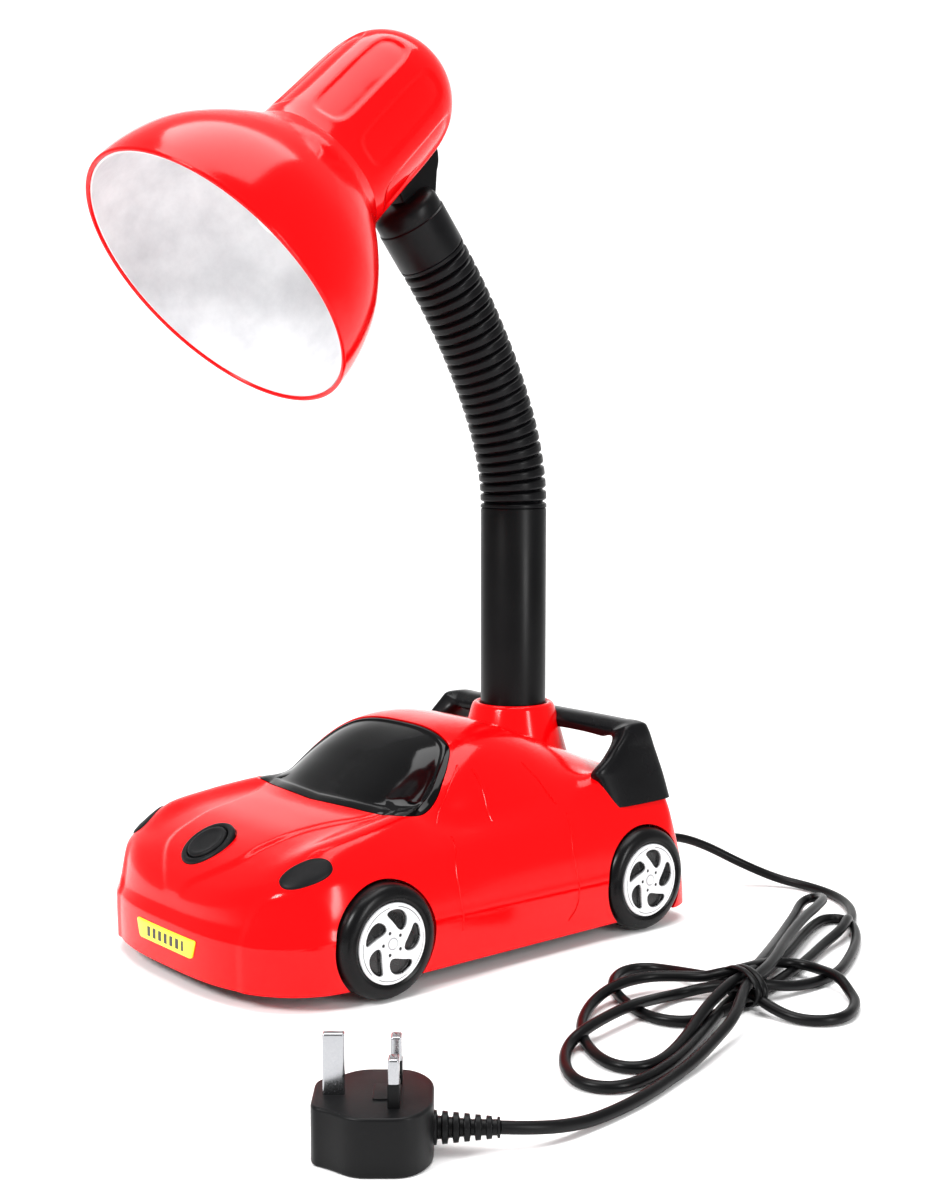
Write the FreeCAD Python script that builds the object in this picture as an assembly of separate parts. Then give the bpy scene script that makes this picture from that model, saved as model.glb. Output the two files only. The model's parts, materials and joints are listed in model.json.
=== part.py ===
"""Toy-car desk lamp, in millimetres.

Row frame: +Z up, -Y towards the car's nose, +X the car's left side.
The origin is on the desk, under the middle of the lamp without its mains lead.
"""
import FreeCAD, Part
import math
import os

V = FreeCAD.Vector
X_AXIS = V(1, 0, 0)
Z_AXIS = V(0, 0, 1)

# ---- car ------------------------------------------------------------------
AXLE_Y = -59.7                  # front axle
WHEELBASE = 169.0
TYRE_R = 27.0
TYRE_OUT_X = 92.0               # outer face of the tyres
TYRE_WIDTH = 18.0
TYRE_LIFT = 0.3                 # tyres hang just clear, the feet carry the lamp
RIM_R = 19.0
ARCH_R = 28.3
SKIRT_Z = 8.0                   # underside of the shell
CREASE_Z = 27.0                 # crease along the doors, the widest line
SIDE_X = 87.0                   # half width at the skirt
NOSE_REACH = 64.0               # nose ahead of the front axle
TAIL_S = 204.0                  # tail behind the front axle
TAIL_CORNER = 14.0
WALL = 2.6
SCREEN_HALF = 67.0              # windscreen outline
SCREEN_LOW_Z = 77.5
SCREEN_TOP_Z = 107.5
LAMP_X, LAMP_S, LAMP_TURN = 68.0, -32.0, 62.0       # headlamp ovals: place and turn from the nose
LAMP_LONG, LAMP_WIDE = 15.5, 7.5                    # and their half axes

# ---- stem and gooseneck -----------------------------------------------------
STEM_S = 155.0                  # stem axis behind the front axle
STEM_R = 17.9
STEM_BORE = 15.4
COLLAR_TOP_Z = 112.0
STEM_TOP_Z = 218.7
LINKS = 6
LINK_LENGTH = 24.3
RING_PITCH = 6.075              # four rings to a link
LINK_TILTS = [12.0, 20.5, 26.0, 30.0, 33.5, 38.0]   # forward lean of each link, degrees
SLEEVE_BORE = 13.5
TOP_SLEEVE_LENGTH = 22.0
BALL_R = 5.5
BALL_NECK = 7.5                 # length of the thin neck under each ball
SOCKET_CLEAR = 0.06
BEND_HALF = 7.0                 # room on each side of a joint, a little over half its bend, degrees

# ---- head -------------------------------------------------------------------
HEAD_TILT = 46.85               # head axis from upright, degrees
MOUTH_S = -33.06                # centre of the shade's mouth
MOUTH_Z = 329.66
SHADE_R = 75.4
SHADE_OUTLINE = [(0, SHADE_R), (8, 75), (20, 73), (34, 68.5), (48, 60.5), (60, 51.5), (70, 43), (78, 38)]
NECK_OUTLINE = [(78, 38), (90, 37), (110, 36.2), (130, 35.5), (143, 34.2)]
NECK_END = [(152, 31.4), (160, 26), (167, 17), (170.6, 7), (171.2, 0)]
SHADE_WALL = 2.2
PIVOT_T = 130.7                 # knuckle pivot along the head axis
PIVOT_E = 28.8                  # and off it, towards the stem
KNUCKLE_R = 16.5
KNUCKLE_WIDTH = 12.0
PIVOT_PIN_R = 2.5
BOLT_HEAD_R = 3.8
EAR = 3.0                       # thickness of the ears that hold the pivot bolt
RUNNING_FIT = 0.05

# ---- switch -----------------------------------------------------------------
SWITCH_S = -40.1
SWITCH_Z = 62.0
SWITCH_SLOPE = 32.0             # bonnet slope at the switch, degrees
SWITCH_R = 14.3
BUTTON_R = 10.5
BUTTON_TRAVEL = 2.5
BUTTON_STEM_R = 4.0
BUTTON_FLANGE = -3.0            # underside of the button's flange

# ---- mains lead -------------------------------------------------------------
CORD_R = 2.5
LEAD_ROUTE = [(45, 161, 33), (46, 178, 31.5), (52, 197, 24), (63, 214, 13), (79, 228, 4.5),
              (97, 234, 2.8), (117, 231, 2.8), (136, 220, 2.8), (151, 203, 2.8), (158, 189, 2.8)]
TAIL_ROUTE = [(232, -20, 2.8), (243, -46, 2.8), (248, -71, 2.8), (251, -95, 3.6),
              (250.5, -116, 7.5), (243.5, -128, 9.0)]
BUNDLE_OUTLINE = [(190, -50), (222, -70), (243, -60), (241, -30), (226, 6), (211, 42), (211, 60),
                  (232, 61), (240, 82), (226, 106), (201, 128), (190, 158), (164, 190), (140, 204),
                  (117, 205), (138, 157), (163, 104), (156, 76), (131, 62), (132, 40), (148, 12), (166, -20)]
BUNDLE_HEIGHT = 16.0
PLUG_TURN = 49.7                # heading of the plug's cable end from +X, degrees
PLUG_LENGTH = 44.0
PLUG_WIDTH = 47.0
PLUG_HEIGHT = 22.0
RELIEF_LENGTH = 24.0


def rad(angle):
    """Degrees to radians."""
    return angle * math.pi / 180


def y_of(s):
    """Row y of a station measured back from the front axle."""
    return s + AXLE_Y


def box(x0, x1, y0, y1, z0, z1):
    """Box between two corners."""
    return Part.makeBox(x1 - x0, y1 - y0, z1 - z0, V(x0, y0, z0))


def rod(radius, start, end):
    """Round rod between two points."""
    axis = end - start
    return Part.makeCylinder(radius, axis.Length, start, axis)


def ring(outer, inner, start, end):
    """Round tube between two points."""
    return rod(outer, start, end).cut(rod(inner, start, end))


def turned(outline):
    """Solid turned about +Z from (height, radius) points, closed back to the axis or itself."""
    points = [V(r, 0, h) for h, r in outline]
    face = Part.Face(Part.makePolygon(points + [points[0]]))
    return face.revolve(V(0, 0, 0), Z_AXIS, 360)


def turned_wall(outline, wall):
    """Thin turned wall: a curve through (height, radius) points and its copy moved inwards."""
    outer = [V(r, 0, h) for h, r in outline]
    inner = [V(r - wall, 0, h) for h, r in outline]
    edges = []
    for points in (outer, inner):
        curve = Part.BSplineCurve()
        curve.interpolate(points)
        edges.append(curve.toShape())
    edges.append(Part.makeLine(outer[0], inner[0]))
    edges.append(Part.makeLine(outer[-1], inner[-1]))
    face = Part.Face(Part.Wire(Part.__sortEdges__(edges)))
    return face.revolve(V(0, 0, 0), Z_AXIS, 360)


def solid_of(shape):
    """The shape's solids as one solid, or as a compound of several."""
    return shape.Solids[0] if len(shape.Solids) == 1 else Part.makeCompound(shape.Solids)


def mirrored(shape):
    """The same piece on the car's other side."""
    return shape.mirror(V(0, 0, 0), X_AXIS)


def joined(shapes):
    """All the shapes fused."""
    first = shapes[0]
    return first.multiFuse(shapes[1:]) if len(shapes) > 1 else first


# ---- car body ---------------------------------------------------------------

def plan_wire(z, side, front, rear):
    """Plan outline at one height: a superellipse nose, straight sides and a round-cornered tail.

    side, front and rear are how far each is drawn in from the skirt's outline.
    """
    half = SIDE_X - side
    reach = NOSE_REACH - front
    steps = 24
    nose = []
    for i in range(steps + 1):
        angle = math.pi * i / steps
        c, s = math.cos(angle), math.sin(angle)
        x = half * math.copysign(abs(c) ** (2 / 2.5), c)
        nose.append(V(x, y_of(-reach * abs(s) ** (2 / 2.2)), z))
    curve = Part.BSplineCurve()
    curve.interpolate(nose)
    tail = y_of(TAIL_S - rear)
    widest = half + 2.0                       # the tail is a little wider than the nose
    corner = TAIL_CORNER
    diag = corner * (1 - math.sqrt(0.5))
    a, b = V(widest, tail - corner, z), V(widest - corner, tail, z)
    c, d = V(-widest + corner, tail, z), V(-widest, tail - corner, z)
    right = Part.Arc(a, V(widest - diag, tail - diag, z), b).toShape()
    left = Part.Arc(c, V(-widest + diag, tail - diag, z), d).toShape()
    edges = [curve.toShape(), Part.makeLine(nose[0], a), right, Part.makeLine(b, c), left,
             Part.makeLine(d, nose[-1])]
    return Part.Wire(Part.__sortEdges__(edges))


def crown_wire(s, half, low, high, power_x, power_z):
    """Cross-section at one station: a superellipse arch standing on a flat bottom."""
    steps = 20
    points = []
    for i in range(steps + 1):
        angle = math.pi * i / steps
        c = math.cos(angle)
        x = half * math.copysign(abs(c) ** (2 / power_x), c)
        z = low + (high - low) * math.sin(angle) ** (2 / power_z)
        points.append(V(x, y_of(s), z))
    curve = Part.BSplineCurve()
    curve.interpolate(points)
    return Part.Wire([curve.toShape(), Part.makeLine(points[-1], points[0])])


# station behind the front axle, crown height on the centre line
LOWER_CROWN = [(-70, 30), (-62, 44), (-52, 54.5), (-40, 62), (-24, 68), (0, 72), (30, 74.5),
               (80, 76), (130, 77), (170, 77), (192, 75), (214, 70)]
# station, half width at the waist, roof height
CABIN = [(38, 52, 66), (50, 62, 84), (64, 68, 101), (78, 72, 110.5), (94, 75, 112), (114, 77, 109),
         (134, 77, 102), (154, 75, 94), (176, 71, 85), (197, 66, 76)]


def side_prism(inset):
    """The car's sides alone, from the skirt up, leaning in above the crease along the doors."""
    plan = [plan_wire(SKIRT_Z - 20 * (inset > 0), inset, inset, inset),
            plan_wire(CREASE_Z, inset - 0.8, inset, inset + 3),
            plan_wire(120, inset + 13, inset + 9, inset + 20)]
    return Part.makeLoft(plan, True, True)


def cabin_form(inset):
    """The cabin and rear deck alone, drawn in by inset."""
    arches = [crown_wire(s, half - inset, 30, high - inset, 2.6, 2.4) for s, half, high in CABIN]
    return Part.makeLoft(arches, True, False)


def outer_body(inset):
    """The car's outer form drawn in by inset on every side but the bottom."""
    prism = side_prism(inset)
    crowns = [crown_wire(s, 94 - inset, -14, h - inset, 4.2, 3.4) for s, h in LOWER_CROWN]
    lower = prism.common(Part.makeLoft(crowns, True, False))
    cabin = cabin_form(inset).common(prism)
    stem = V(0, y_of(STEM_S), 0)
    collar = Part.makeCone(37 - inset, 22 - inset, COLLAR_TOP_Z - 60 - inset, stem + V(0, 0, 60))
    return lower.fuse([cabin, collar])


def wheel_centres():
    """Hub height centre of each wheel on the +X side, front then rear."""
    return [V(0, y_of(0), TYRE_R + TYRE_LIFT), V(0, y_of(WHEELBASE), TYRE_R + TYRE_LIFT)]


BOSS_PLACES = [(58, -38), (58, 48), (60, 124), (56, 192)]


def make_shell():
    """Red moulded shell: wall, wheel wells, screw bosses and the collar that grips the stem."""
    whole = outer_body(0)
    shell = whole.cut(outer_body(WALL))
    extras = []
    for centre in wheel_centres():
        for side in (-1, 1):
            start = centre + V(side * 69, 0, 0)
            extras.append(rod(ARCH_R + 1.8, start, centre + V(side * 91, 0, 0)))
    for x, s in BOSS_PLACES:
        for side in (-1, 1):
            foot = V(side * x, y_of(s), 12)
            extras.append(rod(4, foot, foot + V(0, 0, 100)))
    stem = V(0, y_of(STEM_S), 0)
    extras.append(rod(24, stem + V(0, 0, 78), stem + V(0, 0, 84)))
    extras.append(ring(21.5, STEM_R + 0.1, stem + V(0, 0, 84), stem + V(0, 0, 106)))
    inside = joined(extras).common(whole)
    shell = shell.fuse(inside)
    cuts = [rod(STEM_R + 0.1, stem + V(0, 0, 84), stem + V(0, 0, 130)),
            rod(10.2, stem + V(0, 0, 60), stem + V(0, 0, 90))]
    for centre in wheel_centres():
        for side in (-1, 1):
            cuts.append(rod(ARCH_R, centre + V(side * 71, 0, 0), centre + V(side * 110, 0, 0)))
            cuts.append(rod(2.1, centre + V(side * 66, 0, 0), centre + V(side * 72, 0, 0)))
    for x, s in BOSS_PLACES:
        for side in (-1, 1):
            foot = V(side * x, y_of(s), 0)
            cuts.append(rod(1.3, foot, foot + V(0, 0, 30)))
    cuts.append(box(-120, 120, -250, 250, -20, SKIRT_Z))
    cuts.append(switch_frame(rod(SWITCH_R - 1.0, V(0, 0, -30), V(0, 0, 20))))
    cuts.append(switch_frame(rod(SWITCH_R + 0.1, V(0, 0, -0.3), V(0, 0, 20))))
    cuts.append(rod(5.1, V(45, y_of(170), 33), V(45, y_of(230), 33)))
    cuts.append(screen_cut())
    for lamp in headlamp_pair(0):
        cuts.append(lamp)
    return solid_of(shell.cut(joined(cuts)))


def screen_solid(inset, depth):
    """Slab that follows the screen's outline, used to part the screen from the shell."""
    half, low, high = SCREEN_HALF - inset, SCREEN_LOW_Z + inset, SCREEN_TOP_Z - inset
    right = [(half, low), (half - 6, low + 14), (half - 20, high)]
    points = [V(x, y_of(20), z) for x, z in right] + [V(-x, y_of(20), z) for x, z in reversed(right)]
    return Part.Face(Part.makePolygon(points + [points[0]])).extrude(V(0, depth, 0))


def screen_cut():
    """Pocket for the screen, 1.4 deep in the cabin's front."""
    return screen_solid(0, 56).cut(cabin_form(1.4))


def make_windscreen():
    """Black screen that fills its pocket, flush with the cabin."""
    return solid_of(screen_solid(0.15, 56).common(cabin_form(0.1)).cut(cabin_form(1.3)))


def headlamp_pair(gap):
    """Oval plugs through the bonnet corners, drawn in by gap."""
    lamps = []
    for side in (1, -1):
        outline = Part.Ellipse(V(0, 0, 0), LAMP_LONG - gap, LAMP_WIDE - gap).toShape()
        plug = Part.Face(Part.Wire([outline])).extrude(V(0, 0, 40))
        plug.rotate(V(0, 0, 0), Z_AXIS, LAMP_TURN * side)
        plug.translate(V(side * LAMP_X, y_of(LAMP_S), 36))
        lamps.append(plug)
    return lamps


def make_headlamps():
    """Black oval lamp inserts, left and right."""
    cover, under = outer_body(-0.4), outer_body(WALL - 0.2)
    return [solid_of(lamp.common(cover).cut(under)) for lamp in headlamp_pair(0.15)]


def switch_frame(shape):
    """Moves a piece drawn about +Z at the origin to the switch's seat on the bonnet."""
    shape = shape.copy()
    shape.rotate(V(0, 0, 0), X_AXIS, SWITCH_SLOPE)
    shape.translate(V(0, y_of(SWITCH_S), SWITCH_Z))
    return shape


def make_switch():
    """Push switch: bezel over the bonnet, body under it and a button that travels."""
    bezel = turned([(-3.2, SWITCH_R - 1.2), (-0.2, SWITCH_R - 1.2), (-0.2, SWITCH_R), (1.6, SWITCH_R - 1.0),
                    (1.6, BUTTON_R + 0.3), (-3.2, BUTTON_R + 0.3)])
    floor = BUTTON_FLANGE - BUTTON_TRAVEL - 0.7
    body = turned([(-17, 0), (-17, 11.5), (-3.2, 11.5), (-3.2, BUTTON_R + 0.3), (floor, BUTTON_R + 0.3),
                   (floor, BUTTON_STEM_R + 0.4), (-14, BUTTON_STEM_R + 0.4), (-14, 0)])
    button = turned([(-10.5, 0), (-10.5, BUTTON_STEM_R), (BUTTON_FLANGE, BUTTON_STEM_R),
                     (BUTTON_FLANGE, BUTTON_R), (2.2, BUTTON_R), (3.4, BUTTON_R - 1.5), (3.8, 0)])
    return [switch_frame(piece) for piece in (bezel, body, button)]


def make_wheels():
    """Tyres, hub discs and the pegs that hold them, left and right of each axle."""
    wide, seat, bore = TYRE_WIDTH, TYRE_WIDTH - 2.4, 17.2
    tyre = turned([(0, bore), (0, TYRE_R - 2.5), (2.5, TYRE_R), (wide - 4, TYRE_R), (wide - 1.2, TYRE_R - 2),
                   (wide, TYRE_R - 4.5), (wide, RIM_R), (seat, RIM_R), (seat, bore)])
    hub = rod(bore - 0.1, V(0, 0, wide - 8), V(0, 0, seat))
    hub = hub.fuse(rod(RIM_R - 0.1, V(0, 0, seat), V(0, 0, wide + 0.4)))
    for i in range(5):
        window = rod(3.6, V(11.8, 0, TYRE_WIDTH - 1.2), V(11.8, 0, TYRE_WIDTH + 2))
        window.rotate(V(0, 0, 0), Z_AXIS, 90 + 72 * i)
        hub = hub.cut(window)
    hub = hub.fuse(ring(5, 2.0, V(0, 0, 0), V(0, 0, TYRE_WIDTH - 8)))
    peg = rod(1.9, V(0, 0, -7), V(0, 0, TYRE_WIDTH - 9))
    peg = peg.fuse(rod(4, V(0, 0, -9), V(0, 0, -7)))
    tyres, hubs, pegs = [], [], []
    for centre in wheel_centres():
        for side in (1, -1):
            for piece, group in ((tyre, tyres), (hub, hubs), (peg, pegs)):
                placed = piece.copy()
                placed.rotate(V(0, 0, 0), V(0, 1, 0), 90)
                placed.translate(V(TYRE_OUT_X - TYRE_WIDTH, 0, 0))
                placed = placed if side > 0 else mirrored(placed)
                placed.translate(centre)
                group.append(placed)
    return tyres, hubs, pegs


def make_base():
    """Base plate with its screws, the counterweight with its screws, and the rubber feet."""
    z0, z1 = SKIRT_Z + 0.6, SKIRT_Z + 3.6
    plate = Part.Face(plan_wire(z0, WALL + 0.4, WALL + 0.4, WALL + 3)).extrude(V(0, 0, z1 - z0))
    for centre in wheel_centres():
        for side in (-1, 1):
            plate = plate.cut(rod(ARCH_R + 2.6, centre + V(side * 67, 0, 0), centre + V(side * 120, 0, 0)))
    feet, screws = [], []
    for side in (-1, 1):
        for s in (14, 150):
            foot = V(side * 50, y_of(s), 0)
            plate = plate.cut(rod(7.0, foot, foot + V(0, 0, z0 + 1.5)))
            pad = turned([(0, 0), (0, 8.2), (z0 - 0.2, 9.5), (z0 - 0.2, 6.9), (z0 + 1.4, 6.9), (z0 + 1.4, 0)])
            pad.translate(foot)
            feet.append(pad)
        for x, s in BOSS_PLACES:
            at = V(side * x, y_of(s), 0)
            plate = plate.cut(rod(1.8, at, at + V(0, 0, 20)))
            screws.append(rod(3.2, at + V(0, 0, z0 - 2.2), at + V(0, 0, z0)).fuse(
                rod(1.25, at + V(0, 0, z0 - 0.5), at + V(0, 0, z1 + 12))))
    weight = box(-46, 46, y_of(20), y_of(112), z1, z1 + 15)
    weight_screws = []
    for side in (-1, 1):
        for s in (28, 104):
            at = V(side * 38, y_of(s), 0)
            weight = weight.cut(rod(2.1, at, at + V(0, 0, 60)))
            plate = plate.cut(rod(2.1, at, at + V(0, 0, 20)))
            weight_screws.append(rod(2.0, at + V(0, 0, z0 - 1), at + V(0, 0, z1 + 15)).fuse(
                rod(4.0, at + V(0, 0, z1 + 15), at + V(0, 0, z1 + 17.5))))
    return plate, screws, weight, weight_screws, feet


def make_plate():
    """Yellow number plate, a trapezoid on the bumper."""
    half, low, high = 24.0, 17.0, 26.0
    points = [V(-half - 3, 0, high), V(half + 3, 0, high), V(half, 0, low), V(-half, 0, low)]
    slab = Part.Face(Part.makePolygon(points + [points[0]])).extrude(V(0, 30, 0))
    slab.translate(V(0, y_of(-NOSE_REACH - 8), 0))
    return solid_of(slab.common(side_prism(-1.0)).cut(side_prism(0)))


# side outline of a wing fin and of the bar between the fins, as (station, height)
FIN = [(153, 70.5), (195.5, 68), (193, 78), (183.5, 106), (176, 107.5), (167, 104), (158, 84), (143.5, 84.5)]
WING_BAR = [(167, 103), (176, 107.5), (184, 106), (184, 101), (172, 99)]


def make_wing():
    """Rear wing: a fin on each haunch joined by a bar."""
    fins = []
    for side in (-1, 1):
        outline = [V(0, y_of(s), z) for s, z in FIN]
        fin = Part.Face(Part.makePolygon(outline + [outline[0]])).extrude(V(14, 0, 0))
        fin.rotate(V(0, 0, 70), V(0, 1, 0), -10)
        fin.translate(V(69, 0, 0))
        fins.append(fin if side > 0 else mirrored(fin))
    outline = [V(-72, y_of(s), z) for s, z in WING_BAR]
    fins.append(Part.Face(Part.makePolygon(outline + [outline[0]])).extrude(V(144, 0, 0)))
    return solid_of(joined(fins).cut(outer_body(0)))


# ---- stem and gooseneck -----------------------------------------------------

def chain():
    """Bottom joint and lean of every link, from the stem up to the last link."""
    point = V(0, y_of(STEM_S), STEM_TOP_Z + LINK_LENGTH / 2)
    links = []
    for tilt in LINK_TILTS:
        links.append((point, tilt))
        point = point + V(0, -math.sin(rad(tilt)), math.cos(rad(tilt))) * LINK_LENGTH
    return links


def lean(shape, link):
    """Moves a piece drawn up +Z from a joint to its link."""
    shape = shape.copy()
    shape.rotate(V(0, 0, 0), X_AXIS, link[1])
    shape.translate(link[0])
    return shape


def sleeve_profile(low, high):
    """Corrugated sleeve profile, a groove every ring pitch."""
    outline = [(low, SLEEVE_BORE), (low, STEM_R)]
    for i in range(1, 4):
        z = RING_PITCH * i
        if low < z - 1.5 and z + 1.5 < high:
            outline += [(z - 1, STEM_R), (z - 0.5, STEM_R - 2), (z + 0.5, STEM_R - 2), (z + 1, STEM_R)]
    return outline + [(high, STEM_R), (high, SLEEVE_BORE)]


def bend_room(joint, lean_here, above):
    """What a joint takes from the sleeve below or above it: all past a cone that opens outwards."""
    reach, far = 24.0, 40.0
    edge = 0.3 + reach * math.tan(rad(BEND_HALF))
    sign = 1 if above else -1
    cone = [(-sign * 0.3, 0), (-sign * edge, reach), (sign * far, reach), (sign * far, 0)]
    return lean(turned(cone), (joint, lean_here))


def make_arm(low, high, flange_z, flange_r, ball, socket):
    """One link of the inner arm: socket below, ball above, a flange that carries the sleeve."""
    top = high - BALL_NECK if ball else high
    arm = rod(6.5, V(0, 0, 3.5 if socket else low), V(0, 0, top))
    arm = arm.fuse(rod(flange_r, V(0, 0, flange_z - 1.5), V(0, 0, flange_z + 1.5)))
    if ball:
        arm = arm.fuse([rod(2.6, V(0, 0, top), V(0, 0, high)), Part.makeSphere(BALL_R, V(0, 0, high))])
    if socket:
        arm = arm.fuse(rod(8.2, V(0, 0, -3.0), V(0, 0, 7.0)))
        arm = arm.cut(Part.makeSphere(BALL_R + SOCKET_CLEAR, V(0, 0, 0)))
    return arm.cut(rod(1.6, V(0, 0, low - 20), V(0, 0, high + 20)))


def make_gooseneck():
    """Sleeves and arms of the six links, with the fixed ones on the stem first."""
    links = chain()
    half = LINK_LENGTH / 2
    stem_top = (V(0, y_of(STEM_S), STEM_TOP_Z), 0.0)
    crease = half + TOP_SLEEVE_LENGTH
    spare = 4.0
    sleeves = [lean(turned(sleeve_profile(0, half + spare)), stem_top)]
    arms = [lean(make_arm(-60, half, -20, STEM_BORE - 0.1, True, False), stem_top)]
    for link in links[:-1]:
        sleeves.append(lean(turned(sleeve_profile(-spare, LINK_LENGTH + spare)), link))
        arms.append(lean(make_arm(-3, LINK_LENGTH, half, SLEEVE_BORE - 0.1, True, True), link))
    top = sleeve_profile(-spare, half)
    top = top[:-1] + [(half, STEM_R + 0.3), (crease, STEM_R + 0.3), (crease, SLEEVE_BORE)]
    sleeves.append(lean(turned(top), links[-1]))
    arms.append(lean(make_arm(-3, 22.0, half, SLEEVE_BORE - 0.1, False, True), links[-1]))
    tilts = [0.0] + LINK_TILTS
    for i, (joint, tilt) in enumerate(links):
        middle = (tilts[i] + tilt) / 2
        sleeves[i] = sleeves[i].cut(bend_room(joint, middle, True))
        sleeves[i + 1] = sleeves[i + 1].cut(bend_room(joint, middle, False))
        print("joint %d at y %.3f z %.3f, lean %.2f" % (i + 1, joint.y, joint.z, middle))
    print("head pivot", pivot_point())
    return sleeves, arms


def make_stem():
    """Stem tube, the threaded spigot in its foot and the nut under the shell's ledge."""
    at = V(0, y_of(STEM_S), 0)
    tube = ring(STEM_R, STEM_BORE, at + V(0, 0, 84), at + V(0, 0, STEM_TOP_Z))
    spigot = rod(STEM_BORE - 0.05, at + V(0, 0, 84), at + V(0, 0, 100))
    spigot = spigot.fuse(rod(10, at + V(0, 0, 66), at + V(0, 0, 84)))
    spigot = spigot.cut(rod(6, at + V(0, 0, 60), at + V(0, 0, 110)))
    corners = [V(15.5 * math.cos(rad(60 * i)), 15.5 * math.sin(rad(60 * i)), 71.5) + at for i in range(6)]
    nut = Part.Face(Part.makePolygon(corners + [corners[0]])).extrude(V(0, 0, 6.5))
    nut = nut.cut(rod(10.05, at + V(0, 0, 60), at + V(0, 0, 90)))
    return tube, spigot, nut


# ---- head ---------------------------------------------------------------------

def head_place(shape):
    """Moves a piece drawn up +Z from the mouth's centre, with +Y towards the stem, to the head."""
    shape = shape.copy()
    shape.rotate(V(0, 0, 0), X_AXIS, -HEAD_TILT)
    shape.translate(V(0, y_of(MOUTH_S), MOUTH_Z))
    return shape


def pivot_point():
    """Knuckle pivot in the row frame."""
    c, s = math.cos(rad(HEAD_TILT)), math.sin(rad(HEAD_TILT))
    return V(0, y_of(MOUTH_S + PIVOT_T * s + PIVOT_E * c), MOUTH_Z + PIVOT_T * c - PIVOT_E * s)


def make_knuckle():
    """Black cap on the gooseneck with the round lug that the head tilts on."""
    point, tilt = chain()[-1]
    crease = LINK_LENGTH / 2 + TOP_SLEEVE_LENGTH
    cap = rod(STEM_R - 0.3, V(0, 0, crease), V(0, 0, crease + 8)).fuse(
        rod(SLEEVE_BORE - 0.1, V(0, 0, 22.0), V(0, 0, crease)))
    cap = lean(cap, (point, tilt))

    def cap_point(u, v):
        spot = lean(Part.Vertex(0, u, crease + v), (point, tilt)).Point
        return V(0, spot.y, spot.z)

    pivot = pivot_point()
    lug = [cap_point(-4, 6), cap_point(17, 2), pivot + V(0, 15.5, -5.6), pivot + V(0, -15.7, -5.1)]
    half = V(KNUCKLE_WIDTH / 2, 0, 0)
    web = Part.Face(Part.makePolygon([p - half for p in lug + lug[:1]])).extrude(half * 2)
    disc = rod(KNUCKLE_R, pivot - half, pivot + half)
    bore = rod(PIVOT_PIN_R + RUNNING_FIT, pivot - half * 2, pivot + half * 2)
    return solid_of(cap.fuse([web, disc]).cut(bore))


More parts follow.
